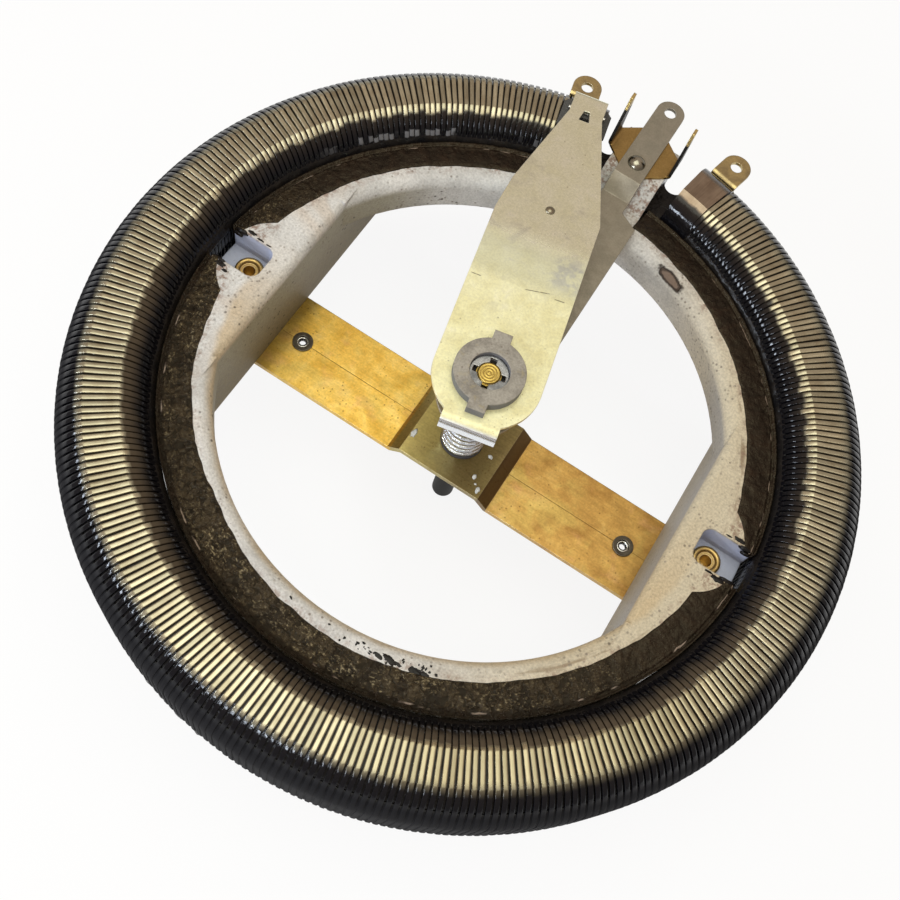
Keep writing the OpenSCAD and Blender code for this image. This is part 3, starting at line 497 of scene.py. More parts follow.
def chromate():
    """Yellow chromate on the strap: golden on the left and more copper on the right, partly painted reflection;
    the raised centre painted olive as a reflection; painted shade at the left end and on the right ramp; partly
    painted highlight on the edges.
    """
    g = Graph("chromate")
    patch = g.noise(0.012, detail=4, rough=0.6, warp=0.5)
    fine = g.noise(0.0009, detail=3)
    brushed = g.noise(0.0011, detail=3, stretch=(0.12, 1.0, 1.0))
    gold = g.ramp(patch, (0.30, (0.68, 0.40, 0.06)), (0.52, (0.84, 0.55, 0.12)), (0.75, (0.90, 0.66, 0.22)))
    copper = g.ramp(patch, (0.30, (0.43, 0.235, 0.065)), (0.55, (0.56, 0.34, 0.10)),
                    (0.78, (0.63, 0.44, 0.165)))
    # golden left, copper right: partly the chromate's own tone, partly a painted reflection
    side = g.step(g.plus(g.x, g.times(patch, 0.03)), -0.010, 0.050)
    color = g.blend(side, gold, copper)
    pink = g.step(g.noise(0.009, detail=2), 0.55, 0.72)
    color = g.blend(g.times(pink, 0.25), color, (0.70, 0.36, 0.22))
    green = g.step(g.noise(0.015, detail=3, warp=0.6), 0.50, 0.68)
    color = g.blend(g.times(green, 0.35), color, (0.62, 0.50, 0.15))
    # painted reflection: the raised centre is painted olive, lighter on its left and darker on its right
    centre = g.span(g.x, -0.0215, 0.0185, 0.0015)
    olive = g.blend(g.step(g.x, -0.012, 0.012), (0.46, 0.40, 0.17), (0.22, 0.18, 0.085))
    color = g.blend(g.times(centre, 0.85), color, olive)
    color = g.shade(color, g.step(fine, 0.3, 0.7), 0.88, 1.06)
    color = g.shade(color, g.step(brushed, 0.3, 0.7), 0.90, 1.05)
    # painted shade: the strap's left end is darkened under the base
    color = g.shade(color, g.step(g.x, -0.077, -0.086), 1.0, 0.5)
    # painted shade: the right ramp is painted dark brown
    ramp_painted_shade = g.span(g.x, 0.0187, 0.0232, 0.0004)
    color = g.blend(g.times(ramp_painted_shade, 0.85), color, (0.14, 0.085, 0.04))
    scribe = g.times(g.span(g.y, -0.00008, 0.00008, 0.00018), g.minus(1.0, centre))
    color = g.blend(g.times(scribe, g.lerp(g.noise(0.008), 0.25, 0.9), 0.8), color, (0.20, 0.11, 0.03))
    color = g.blend(g.times(g.dots(0.0021, 0.24), 0.7), color, (0.16, 0.09, 0.03))
    # lighter edges: partly worn plating, partly a painted highlight
    color = g.blend(g.times(g.edges(), 0.35), color, (0.85, 0.74, 0.48))
    groove = g.minus(1.0, scribe)
    normal = g.bump((g.noise(0.010, detail=2), 0.0002), (groove, 0.00008), (fine, 0.00002),
                    normal=g.soft_edge())
    rough = g.lerp(g.step(patch, 0.3, 0.7), 0.44, 0.32)
    return g.finish(color=color, metallic=0.92, roughness=rough, normal=normal)


def zinc():
    """Pale zinc plate on the arm: beige with grey blotches, specks and scratches, yellower towards the hub,
    partly as painted reflection, with painted shade at the bend, a painted reflection on the rear lip and partly
    painted highlight on its edges.

    A scratch is its place along the arm, its lean and its two ends across the arm.
    """
    g = Graph("zinc")
    out = g.along((math.cos(ARM_REST), math.sin(ARM_REST), 0.0))
    side = g.along((-math.sin(ARM_REST), math.cos(ARM_REST), 0.0))
    patch = g.noise(0.008, detail=4, rough=0.6, warp=0.4)
    fine = g.noise(0.0008, detail=3)
    front = g.ramp(patch, (0.32, (0.90, 0.915, 0.69)), (0.60, (0.95, 0.97, 0.78)), (0.80, (0.97, 0.98, 0.86)))
    rear = g.ramp(patch, (0.32, (0.78, 0.735, 0.42)), (0.60, (0.88, 0.86, 0.55)), (0.80, (0.92, 0.90, 0.68)))
    # the rear, towards the hub, is painted yellower: partly the plate's tone, partly a painted reflection of the
    # warm lamp behind the bend
    color = g.blend(g.step(out, 0.026, 0.075), rear, front)
    # painted shade: a darker band across the arm at its bend
    color = g.shade(color, g.span(out, 0.045, 0.055, 0.007), 1.0, 0.80)
    blotch = g.times(g.step(g.noise(0.013, detail=3, warp=0.8), 0.55, 0.72), g.step(out, 0.020, 0.034))
    color = g.blend(g.times(blotch, 0.35), color, (0.50, 0.50, 0.50))
    smudge = g.times(g.span(out, 0.048, 0.056, 0.005), g.span(side, -0.019, -0.011, 0.004),
                     g.step(g.noise(0.0035, detail=4), 0.40, 0.62))
    color = g.blend(g.times(smudge, 0.6), color, (0.42, 0.43, 0.44))
    color = g.shade(color, g.step(fine, 0.3, 0.7), 0.90, 1.04)
    scratches = ((0.0380, 0.0, 0.0160, 0.0190), (0.0415, 0.22, -0.0115, -0.0020),
                 (0.0400, 0.05, -0.0165, -0.0135))
    marks = 0.0
    for place, lean, low, high in scratches:
        run = g.plus(out, g.times(g.minus(side, low), lean))
        line = g.times(g.span(run, place - 0.00012, place + 0.00012, 0.00016),
                       g.span(side, low, high, 0.0008))
        marks = g.math("MAXIMUM", marks, line)
    color = g.blend(g.times(marks, g.step(g.noise(0.0016), 0.32, 0.50), 0.85), color, (0.14, 0.12, 0.08))
    color = g.blend(g.times(g.dots(0.0045, 0.11, 0.02), 0.55), color, (0.26, 0.22, 0.14))
    speck = g.times(g.dots(0.0018, 0.22), g.step(out, 0.030, 0.010))
    color = g.blend(g.times(speck, 0.5), color, (0.42, 0.36, 0.16))
    # painted reflection: the rear lip is painted pale bluish white for the window light it reflects; its lower
    # roughness and higher metallic make it polished
    lip = g.step(g.z, 0.0648, 0.0636)
    color = g.blend(g.times(lip, g.step(out, -0.0175, -0.0195)), color, (0.84, 0.86, 0.88))
    # lighter edges: partly worn plating, partly a painted highlight
    color = g.blend(g.times(g.edges(), 0.3), color, (0.92, 0.90, 0.84))
    normal = g.bump((g.noise(0.014, detail=2), 0.00025), (fine, 0.000015), normal=g.soft_edge())
    rough = g.lerp(lip, g.lerp(g.step(patch, 0.3, 0.7), 0.48, 0.36), 0.24)
    metallic = g.lerp(lip, g.lerp(g.step(out, 0.030, 0.046), 0.40, 0.15), 0.95)
    return g.finish(color=color, metallic=metallic, roughness=rough, normal=normal)


def stop_brass():
    """Amber plate with upright stops painted near black as painted shade, with a painted highlight in light
    brass at their tips.
    """
    g = Graph("stop_brass")
    patch = g.noise(0.006, detail=4, warp=0.4)
    fine = g.noise(0.0007, detail=3)
    plate = g.ramp(patch, (0.30, (0.34, 0.225, 0.080)), (0.60, (0.40, 0.265, 0.098)),
                   (0.80, (0.46, 0.32, 0.13)))
    height = g.plus(g.z, g.times(g.noise(0.003), 0.002))
    # painted shade: the uprights are painted near black from the plate up to their tips
    black = g.span(height, 0.0556, 0.0695, 0.0010)
    # painted highlight: the tips are painted a light brass colour
    painted_tip_highlight = g.step(height, 0.0695, 0.0705)
    color = g.blend(black, plate, (0.010, 0.009, 0.008))
    color = g.blend(painted_tip_highlight, color, (0.62, 0.47, 0.20))
    color = g.shade(color, g.step(fine, 0.3, 0.7), 0.88, 1.06)
    normal = g.bump((patch, 0.0001), (fine, 0.00002), normal=g.soft_edge())
    rough = g.lerp(black, g.lerp(patch, 0.42, 0.28), 0.40)
    return g.finish(color=color, metallic=g.lerp(black, 0.95, 0.1), roughness=rough, level=0.3, normal=normal)


def steatite():
    """Grey-brown pressed ceramic of the hub, with painted darker, bluer shade round its sides and a painted
    highlight along its edges.
    """
    g = Graph("steatite")
    grain = g.noise(0.0008, detail=4)
    cloud = g.noise(0.006, detail=3)
    color = g.blend(g.step(cloud, 0.35, 0.68), (0.24, 0.22, 0.19), (0.37, 0.345, 0.30))
    color = g.shade(color, g.step(grain, 0.3, 0.7), 0.82, 1.08)
    yellow = g.step(g.noise(0.004, detail=3, warp=0.5), 0.56, 0.72)
    color = g.blend(g.times(yellow, 0.4), color, (0.38, 0.31, 0.15))
    color = g.blend(g.times(g.dots(0.0026, 0.20), 0.6), color, (0.12, 0.09, 0.07))
    # painted shade: the hub's sides are painted darker and bluer below its top face
    color = g.blend(g.times(g.step(g.z, 0.0692, 0.0688), 0.75), color, (0.15, 0.16, 0.19))
    # painted highlight along the edges
    color = g.blend(g.times(g.edges(0.0005), 0.35), color, (0.52, 0.50, 0.45))
    normal = g.bump((cloud, 0.0001), (grain, 0.00010), normal=g.soft_edge(0.0006))
    return g.finish(color=color, roughness=g.lerp(grain, 0.46, 0.68), level=0.4, normal=normal)


def shaft_metal():
    """Turned shaft: golden with turning rings on its end, painted near black below the strap as painted shade.
    """
    g = Graph("shaft_metal")
    fine = g.noise(0.0007, detail=3)
    rings = g.math("SINE", g.times(g.radius(), 2 * math.pi / 0.0011))
    color = g.blend(g.step(fine, 0.3, 0.7), (0.46, 0.32, 0.08), (0.64, 0.47, 0.14))
    color = g.shade(color, g.step(rings, -0.6, 0.6), 0.88, 1.04)
    # painted shade: the shaft is painted near black below the strap
    low = g.step(g.z, 0.004, 0.001)
    color = g.blend(low, color, (0.010, 0.009, 0.008))
    normal = g.bump((rings, 0.00003), (fine, 0.00003), normal=g.soft_edge())
    rough = g.lerp(low, g.lerp(fine, 0.28, 0.42), 0.62)
    return g.finish(color=color, metallic=g.lerp(low, 1.0, 0.0), roughness=rough, level=0.25, normal=normal)


def matte(name, light, dark, rough=0.7):
    """Fibre, carbon and other dull bodies: two-tone grain with a fine bump."""
    g = Graph(name)
    grain = g.noise(0.0008, detail=4)
    cloud = g.noise(0.0072, detail=3)
    color = g.shade(g.blend(cloud, dark, light), g.step(grain, 0.3, 0.7), 0.8, 1.1)
    normal = g.bump((grain, 0.00008), normal=g.soft_edge())
    spread = g.lerp(grain, rough * 0.85, rough * 1.1)
    return g.finish(color=color, roughness=spread, level=0.35, normal=normal)


def paint():
    """Pale dried paint."""
    return matte("paint", (0.80, 0.82, 0.80), (0.66, 0.70, 0.70), rough=0.55)


def wobble(place, size, seed=0.0):
    """Smooth repeatable noise from -1 to 1 at a place, with features of that size."""
    return noise.noise(Vector(place) / size + Vector((seed, 2.3 * seed, -1.7 * seed)))


def add_mesh(name, points, faces, material, slot):
    """A new smooth piece on the part's frame, from points in millimetres."""
    mesh = bpy.data.meshes.new(name)
    mesh.from_pydata([tuple(p) for p in np.array(points) * MM], [], faces)
    mesh.validate()
    mesh.shade_smooth()
    mesh.materials.append(material)
    piece = bpy.data.objects.new(name, mesh)
    bpy.context.scene.collection.objects.link(piece)
    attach(piece, "frame")
    return piece


def sweep(count, sides, first=0):
    """Faces of a closed band through count loops of points, each loop drawn upwards on its outer side."""
    faces = []
    for i in range(count - 1):
        a, b = first + i * sides, first + (i + 1) * sides
        faces += [(a + k, b + k, b + (k + 1) % sides, a + (k + 1) % sides) for k in range(sides)]
    faces.append(tuple(range(first, first + sides)))
    faces.append(tuple(range(first + (count - 1) * sides, first + count * sides))[::-1])
    return faces


def arc_points(centre_r, centre_z, size, start, end, count):
    """Points of the ring's section on an arc: (radius, height, normal outward, normal up)."""
    points = []
    for angle in np.linspace(math.radians(start), math.radians(end), count):
        c, s = math.cos(angle), math.sin(angle)
        points.append((centre_r + size * c, centre_z + size * s, c, s))
    return points


def ring_section():
    """The wound ring's section, once round from the middle of its underside."""
    low_z = TUBE_LOW + LOW_ROUND
    dome_z = TRACK_Z + TRACK_FLAT - TOP_ROUND
    tilt = math.degrees(math.acos((TOP_ROUND - TRACK_FLAT) / TOP_ROUND))
    in_low, out_low = TUBE_INNER + LOW_ROUND, TUBE_OUTER - LOW_ROUND
    in_top, out_top = TUBE_INNER + TOP_ROUND, TUBE_OUTER - TOP_ROUND
    flat = TOP_ROUND * math.sin(math.radians(tilt))
    wall = np.linspace(low_z, dome_z, 5)[1:-1]
    section = [((in_low + out_low) / 2, TUBE_LOW, 0, -1)]
    section += arc_points(out_low, low_z, LOW_ROUND, -90, 0, 7)
    section += [(TUBE_OUTER, z, 1, 0) for z in wall]
    section += arc_points(out_top, dome_z, TOP_ROUND, 0, 90 - tilt, 12)
    section += [(r, TRACK_Z, 0, 1) for r in np.linspace(out_top + flat - 0.3, in_top - flat + 0.3, 6)]
    section += arc_points(in_top, dome_z, TOP_ROUND, 90 + tilt, 180, 12)
    section += [(TUBE_INNER, z, -1, 0) for z in wall[::-1]]
    section += arc_points(in_low, low_z, LOW_ROUND, 180, 270, 7)
    return np.array(section)


def build_winding(material):
    """One ribbon, wound as a true helix round the ring's section, with small errors from turn to turn."""
    section = ring_section()
    stations = len(section)
    edge = [(-a, d) for a, d in RIBBON_CROWN[::-1]] + [(0.0, 0.0)] + list(RIBBON_CROWN)
    across = np.array([a for a, _ in edge]) * RIBBON_WIDTH
    depth = np.array([d for _, d in edge]) * RIBBON_DEPTH
    turn = np.repeat(np.arange(TURNS), stations)
    share = np.tile(np.arange(stations) / stations, TURNS)
    seeds = np.random.default_rng(RIBBON_SEED)
    slip = seeds.normal(0.0, RIBBON_SLIP, TURNS + 1)
    lift = seeds.normal(0.0, RIBBON_LIFT, TURNS + 1)
    spread = np.interp(turn + share, np.arange(TURNS + 1), slip)
    angle = FIRST_TURN + TURN_PITCH * (turn + share - 0.5 + spread)
    r, z, out, up = (np.tile(column, TURNS) for column in section.T)
    sunk = np.abs(np.interp(turn + share, np.arange(TURNS + 1), lift)) * (z < TRACK_Z - 0.01)
    points = np.empty((len(angle), len(edge), 3))
    for k in range(len(edge)):
        reach = r - out * (depth[k] + sunk)
        points[:, k, 0] = reach * np.cos(angle) - across[k] * np.sin(angle)
        points[:, k, 1] = reach * np.sin(angle) + across[k] * np.cos(angle)
        points[:, k, 2] = z - up * (depth[k] + sunk)
    sides = len(edge)
    faces = []
    for i in range(len(angle) - 1):
        a, b = i * sides, (i + 1) * sides
        faces += [(a + k, a + (k + 1) % sides, b + (k + 1) % sides, b + k) for k in range(sides)]
    faces.append(tuple(range(sides))[::-1])
    faces.append(tuple(range((len(angle) - 1) * sides, len(angle) * sides)))
    piece = add_mesh("wound_ribbon", points.reshape(-1, 3), faces, material, "winding")
    tone = np.repeat(seeds.uniform(0.0, 1.0, TURNS)[turn], sides)
    values = piece.data.attributes.new("turn_tone", "FLOAT", "POINT")
    values.data.foreach_set("value", tone.astype(np.float32))
    piece.data.set_sharp_from_angle(angle=SHARP_ANGLE)
    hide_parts("resistance_winding")


def lobe_reach(angle):
    """How far from the shaft the bare land of a boss reaches in this direction, in millimetres."""
    for x in (LOBE_X, -LOBE_X):
        along, off = x * math.cos(angle), abs(x * math.sin(angle))
        if along > 0 and off < LOBE_R:
            return along + math.sqrt(LOBE_R ** 2 - off ** 2)
    return 0.0


def bond_edge(angle, rebate):
    """The enamel's wavy inner edge, in millimetres from the shaft."""
    place = (math.cos(angle), math.sin(angle), 0.0)
    wave = 0.9 * wobble(place, 0.16, 1.0) + 0.5 * wobble(place, 0.05, 2.0)
    run = 2.2 * math.exp(-((math.degrees(angle) % 360 - 240) / 16) ** 2)
    return max(rebate - 1.6 - abs(wave) - run, lobe_reach(angle) - 0.5 - 0.6 * abs(wave))


def bond_height(r, angle, inner, outer):
    """Height of the enamel's top over the land, in millimetres."""
    t = (r - inner) / (outer - inner)
    place = (r * math.cos(angle), r * math.sin(angle), 0.0)
    lumps = 0.28 * wobble(place, 7.0, 3.0) + 0.22 * wobble(place, 2.6, 4.0) + 0.16 * wobble(place, 1.2, 6.0)
    lip = 0.42 * (1.0 - math.exp(-(r - inner) / 0.5))
    sag = -2.0 * t ** 1.5
    crease = -0.9 * math.exp(-((r - outer + 1.2) / 0.5) ** 2)
    bead = 0.55 * math.exp(-((r - outer + 2.2) / 0.45) ** 2) * (0.6 + 0.5 * wobble(place, 5.0, 8.0))
    climb = 0.9 * math.exp(-((r - outer) / 0.6) ** 2)
    height = lip + sag + crease + bead + climb + lumps * min(1.0, (r - inner) / 1.5)
    return max(height, min(0.14, 0.3 * (r - inner))) if r < BOND_REBATE else height


def build_bond(material):
    """The enamel between base and winding: three lumpy arcs that end at the notches and the tongue."""
    node = nodes["enamel_bond"].data.vertices
    reach = [math.hypot(v.co.x, v.co.y) / MM for v in node]
    rebate, outer = min(reach), max(reach)
    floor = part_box("enamel_bond")[0][2] / MM
    notch = math.asin(NOTCH_HALF / 112.0)
    tongue = math.asin((TONGUE_HALF + 0.1) / 110.0)
    right, top, left = 0.0, math.pi / 2, math.pi
    arcs = ((right + notch, top - tongue), (top + tongue, left - notch), (left + notch, 2 * math.pi - notch))
    points, faces = [], []
    for start, end in arcs:
        count = int((end - start) * outer / BOND_STEP)
        first = len(points)
        for angle in np.linspace(start, end, count):
            inner = bond_edge(angle, rebate)
            c, s = math.cos(angle), math.sin(angle)
            shares = np.linspace(0.0, 1.0, BOND_ROWS) ** 1.15
            loop = [(inner + (outer - inner) * t) for t in shares]
            section = [(r, LAND_Z + bond_height(r, angle, inner, outer)) for r in loop]
            foot = max(rebate, inner) + 0.02
            section += [(outer, floor), (outer - 1.0, floor), (foot, LAND_Z - 4.9), (foot, LAND_Z - 0.02)]
            points += [(r * c, r * s, z) for r, z in section[::-1]]
        faces += sweep(count, len(section), first)
    piece = add_mesh("enamel_fill", points, faces, material, "enamel")
    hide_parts("enamel_bond")


def build_fillet(material):
    """Black enamel that climbs the winding's inner shoulder from the bond, with an uneven upper edge."""
    dome_r, dome_z = TUBE_INNER + TOP_ROUND, TRACK_Z + TRACK_FLAT - TOP_ROUND
    points = []
    for angle in np.linspace(FIRST_TURN, LAST_TURN, FILLET_LOOPS):
        c, s = math.cos(angle), math.sin(angle)
        top = FILLET_TOP + 0.9 * wobble((c, s, 0), 0.22, 11.0) + 0.5 * wobble((c, s, 0), 0.06, 12.0)
        outer_side, inner_side = [], []
        for t in np.linspace(0.0, 1.0, FILLET_ROWS):
            z = FILLET_FOOT + (top - FILLET_FOOT) * t
            tilt = math.asin((z - dome_z) / TOP_ROUND)
            up, out = math.sin(tilt), math.cos(tilt)
            proud = 0.35 - 0.95 * t ** 4 + 0.10 * wobble((c * 40, s * 40, z), 1.4, 13.0)
            for side, reach in ((outer_side, TOP_ROUND + proud), (inner_side, TOP_ROUND - 1.0)):
                side.append(((dome_r - reach * out) * c, (dome_r - reach * out) * s, dome_z + reach * up))
        points += inner_side + outer_side[::-1]
    add_mesh("enamel_fillet", points, sweep(FILLET_LOOPS, 2 * FILLET_ROWS), material, "enamel")


def build_coat(material):
    """Black enamel that fills most of the grooves between the turns on the outer wall and the underside."""
    outside = [station for station in ring_section()[:OUTER_STATIONS] if station[1] < COAT_TOP]
    rows = len(outside)
    points = []
    for angle in np.linspace(FIRST_TURN, LAST_TURN, COAT_LOOPS):
        c, s = math.cos(angle), math.sin(angle)
        outer_side, inner_side = [], []
        for k, (r, z, out, up) in enumerate(outside):
            sunk = COAT_SUNK + 0.10 * wobble((c * 60, s * 60, z), 2.5, 15.0)
            sunk = max(sunk, 1.0 - 0.3 * (rows - 1 - k))
            for side, depth in ((outer_side, sunk), (inner_side, RIBBON_DEPTH - 0.05)):
                side.append(((r - out * depth) * c, (r - out * depth) * s, z - up * depth))
        points += outer_side + inner_side[::-1]
    add_mesh("enamel_coat", points, sweep(COAT_LOOPS, 2 * rows), material, "enamel")


def blot(place, size, height, surface, seed, stretch=1.0, turn=0.0):
    """Points and faces of a thin irregular spot that lies on a surface, in millimetres. Closed below."""
    spokes, rings = 28, 4
    half = 1 + rings * spokes
    points, faces = [], []
    for side in (1, -1):
        base = len(points)
        for k in range(rings + 1):
            for j in range(spokes if k else 1):
                a = 2 * math.pi * j / spokes
                edge = 1.0 + 0.38 * wobble((math.cos(a), math.sin(a), 0), 0.6, seed)
                edge += 0.22 * wobble((math.cos(a), math.sin(a), 0), 0.2, seed + 5)
                t = k / rings
                u, v = size * stretch * edge * t * math.cos(a), size / stretch * edge * t * math.sin(a)
                x = place[0] + u * math.cos(turn) - v * math.sin(turn)
                y = place[1] + u * math.sin(turn) + v * math.cos(turn)
                rise = height * math.sqrt(1.0 - t ** 4) if side > 0 else -0.05
                points.append((x, y, surface(x, y) + rise))
        for j in range(spokes):
            a, b = base + 1 + j, base + 1 + (j + 1) % spokes
            faces.append((base, a, b)[::side])
            for k in range(0, (rings - 1) * spokes, spokes):
                faces.append((a + k, a + k + spokes, b + k + spokes, b + k)[::side])
    rim = half - spokes
    for j in range(spokes):
        a, b = rim + j, rim + (j + 1) % spokes
        faces.append((a, a + half, b + half, b))
    return points, faces


def join(parts):
    """Several (points, faces) as one."""
    points, faces = [], []
    for more, links in parts:
        faces += [tuple(i + len(points) for i in link) for link in links]
        points += list(more)
    return points, faces


def drip(place, sizes, turn, seed):
    """Points and faces of a lumpy drop, in millimetres: sizes along the wall's normal, across it and up."""
    ball = bmesh.new()
    bmesh.ops.create_icosphere(ball, subdivisions=3, radius=1.0)
    points = []
    for vertex in ball.verts:
        p = vertex.co * (1.0 + 0.22 * wobble(vertex.co, 0.8, seed) + 0.08 * wobble(vertex.co, 0.3, seed))
        q = Matrix.Rotation(turn, 3, "Z") @ Vector((p.x * sizes[0], p.y * sizes[1], p.z * sizes[2]))
        points.append(tuple(q + Vector(place)))
    faces = [tuple(v.index for v in face.verts) for face in ball.faces]
    ball.free()
    return points, faces


def at_ring(radius, degrees, z):
    angle = math.radians(degrees)
    return (radius * math.cos(angle), radius * math.sin(angle), z)


def build_drips(material):
    """Enamel that ran down the winding's outer wall, and lumps at the mouths of the notches.

    Runs are angle, height and size; lumps are place and size, in degrees and millimetres.
    """
    parts = []
    runs = ((254, 14, 3.4), (257, 18, 2.4), (260, 13, 4.2), (263.5, 15, 3.0), (323, 14, 4.0), (327, 19, 2.6),
            (332, 13, 4.6), (337, 16, 3.2), (342, 13, 3.0))
    for i, (degrees, z, size) in enumerate(runs):
        sizes = (1.3, 0.75 * size, 0.8 * size)
        parts.append(drip(at_ring(TUBE_OUTER - 1.1, degrees, z), sizes, math.radians(degrees), i))
    corners = ((112.2, 7.6, 43.2, 1.5), (113.4, 6.6, 41.6, 1.2), (111.4, -7.7, 43.3, 1.7),
               (113.2, -6.8, 41.8, 1.3), (-111.8, 7.6, 43.3, 1.6), (-113.2, 6.7, 41.7, 1.3),
               (-110.8, -7.7, 43.3, 1.4), (-113.0, -6.8, 42.0, 1.5))
    for i, (x, y, z, size) in enumerate(corners):
        parts.append(drip((x, y, z), (1.7 * size, 0.55 * size, 0.8 * size), 0.0, 20 + i))
    add_mesh("enamel_drips", *join(parts), material, "enamel")


# Black enamel on the land beside the notches: place, size and stretch, in millimetres
NOTCH_SMEARS = ((-108.5, 9.0, 1.3, 1.7), (-104.0, 8.2, 0.8, 2.0), (-100.0, 8.0, 0.6, 2.0),
                (-110.0, -9.2, 1.6, 1.5), (-107.0, -10.8, 0.9, 1.3), (109.0, 9.2, 1.5, 1.6),
                (105.0, 8.3, 0.7, 2.0), (108.5, -9.2, 1.7, 1.4), (104.5, -8.4, 0.9, 1.9))


def land(x, y):
    """Height of the base's land, which is flat."""
    return LAND_Z


def build_land_marks(material):
    """Enamel specks and smears on the base's land."""
    parts = []
    seeds = np.random.default_rng(SPECK_SEED)
    for i in range(SPECKS):
        centre, spread = ((283.0, 2.6), (290.0, 1.6), (279.0, 4.0))[i % 3]
        degrees = seeds.normal(centre, spread)
        radius = min(104.6, seeds.normal(102.6, 1.1))
        size, stretch = seeds.uniform(0.15, 0.60), seeds.uniform(0.7, 1.6)
        parts.append(blot(at_ring(radius, degrees, 0), size, 0.08, land, i, stretch))
    for i, (x, y, size, stretch) in enumerate(NOTCH_SMEARS):
        parts.append(blot((x, y), size, 0.22, land, 60 + i, stretch))
    smears = ((102.9, 282, 1.2), (102.9, 284.3, 1.7), (103.4, 286, 1.0), (104.4, 289.4, 1.9),
              (104.6, 291.5, 1.2), (101.5, 262, 0.5))
    for i, (radius, degrees, size) in enumerate(smears):
        lean = math.radians(degrees + 70)
        parts.append(blot(at_ring(radius, degrees, 0), size, 0.12, land, 40 + i, 1.5, lean))
    add_mesh("land_specks", *join(parts), material, "enamel")


def strap_top(x, y):
    """Height of the strap's upper face: raised centre, ramps, wings."""
    inner, outer = STRAP_RAMP
    share = min(1.0, max(0.0, (outer - abs(x)) / (outer - inner)))
    return STRAP_WING_Z + share * (STRAP_CENTRE_Z - STRAP_WING_Z)


def build_paint_spots(material):
    """Dried paint on the raised part of the strap."""
    spots = ((-17.2, -9.2, 1.5, 0.8), (13.6, -0.1, 1.0, 1.1), (12.7, -11.2, 1.0, 0.9),
             (16.6, -15.3, 1.2, 0.8), (14.6, -13.6, 0.5, 1.2))
    parts = [blot((x, y), size, 0.12, strap_top, i, stretch)
             for i, (x, y, size, stretch) in enumerate(spots)]
    add_mesh("paint_spots", *join(parts), material, "chromate_steel")


def build_threads(material):
    """Thread crests in the bores of the mounting inserts."""
    pitch, crest, per_turn = 0.8, 1.15, 32
    parts = []
    for x in (INSERT_X, -INSERT_X):
        turns = int((INSERT_TOP - 0.6) / pitch)
        points, faces = [], []
        for i in range(turns * per_turn + 1):
            a = 2 * math.pi * i / per_turn
            z = 0.5 + pitch * i / per_turn
            for dr, dz in ((0.05, -0.36), (-crest, 0.0), (0.05, 0.36)):
                r = INSERT_BORE / 2 + dr
                points.append((x + r * math.cos(a), r * math.sin(a), z + dz))
        for i in range(turns * per_turn):
            a = 3 * i
            faces += [(a + k, a + (k + 1) % 3, a + 3 + (k + 1) % 3, a + 3 + k) for k in range(3)]
        last = 3 * turns * per_turn
        faces += [(0, 2, 1), (last, last + 1, last + 2)]
        parts.append((points, faces))
    add_mesh("insert_threads", *join(parts), material, "insert_steel")


def dress_nodes():
    """Gives every CAD node that stays visible its material, and returns them by node."""
    brass = sheet_metal("tab_brass", (0.60, 0.48, 0.23), (0.36, 0.28, 0.15), 0.34)
    dull_steel = sheet_metal("dull_steel", (0.46, 0.44, 0.42), (0.26, 0.24, 0.22), 0.40)
    dark_steel = sheet_metal("dark_steel", (0.10, 0.085, 0.065), (0.05, 0.042, 0.034), 0.36, edge_wear_and_highlight=0.15)
    bright_steel = sheet_metal("bright_steel", (0.80, 0.79, 0.76), (0.60, 0.58, 0.54), 0.26, speck=0.3)
    spring_steel = sheet_metal("spring_steel", (0.66, 0.69, 0.74), (0.50, 0.53, 0.58), 0.24, speck=0.2)
    looks = {
        "ceramic_base": porcelain(),
        "winding_core": black_enamel(),
        "end_band_left": end_band(),
        "end_terminal_left": brass,
        "stop_plate": stop_brass(),
        "plate_screw": dull_steel,
        "collector_blade": sheet_metal("collector", (0.35, 0.32, 0.26), (0.28, 0.255, 0.205), 0.44,
                                       metallic=0.7, speck=0.2, edge_wear_and_highlight=0.2),
        "collector_rivet": sheet_metal("dome_steel", (0.46, 0.44, 0.36), (0.22, 0.205, 0.16), 0.22),
        "bridge_strap": chromate(),
        "strap_rivets": sheet_metal("rivet_brass", (0.66, 0.48, 0.19), (0.44, 0.29, 0.10), 0.34),
        "mounting_inserts": dark_steel,
        "shaft_bushing": sheet_metal("bronze", (0.58, 0.44, 0.22), (0.40, 0.28, 0.12), 0.36),
        "bushing_nut": brass,
        "spring_seat": matte("fibre", (0.10, 0.10, 0.105), (0.06, 0.06, 0.065)),
        "compression_spring": spring_steel,
        "insulating_washer": matte("washer", (0.72, 0.68, 0.60), (0.60, 0.55, 0.47)),
        "shaft": shaft_metal(),
        "shaft_clip": dull_steel,
        "arm_hub": steatite(),
        "star_ring": sheet_metal("star_steel", (0.42, 0.43, 0.45), (0.17, 0.175, 0.185), 0.30),
        "contact_arm": zinc(),
        "slip_ring": brass,
        "pressure_leaf": sheet_metal("leaf", (0.50, 0.52, 0.55), (0.36, 0.37, 0.39), 0.30),
        "arm_rivet": sheet_metal("arm_rivet", (0.40, 0.36, 0.27), (0.20, 0.17, 0.12), 0.28),
        "contact_brush": matte("carbon", (0.10, 0.10, 0.10), (0.05, 0.05, 0.05), rough=0.5),
        "brush_pin": bright_steel,
    }
    looks["end_band_right"] = looks["end_band_left"]
    looks["end_terminal_right"] = brass
    looks["plate_insert"] = brass
    looks["gap_enamel"] = looks["winding_core"]
    looks["bushing_lockwasher"] = dull_steel
    for name, material in looks.items():
        slots = nodes[name].data.materials
        slots.clear()
        slots.append(material)
    return looks


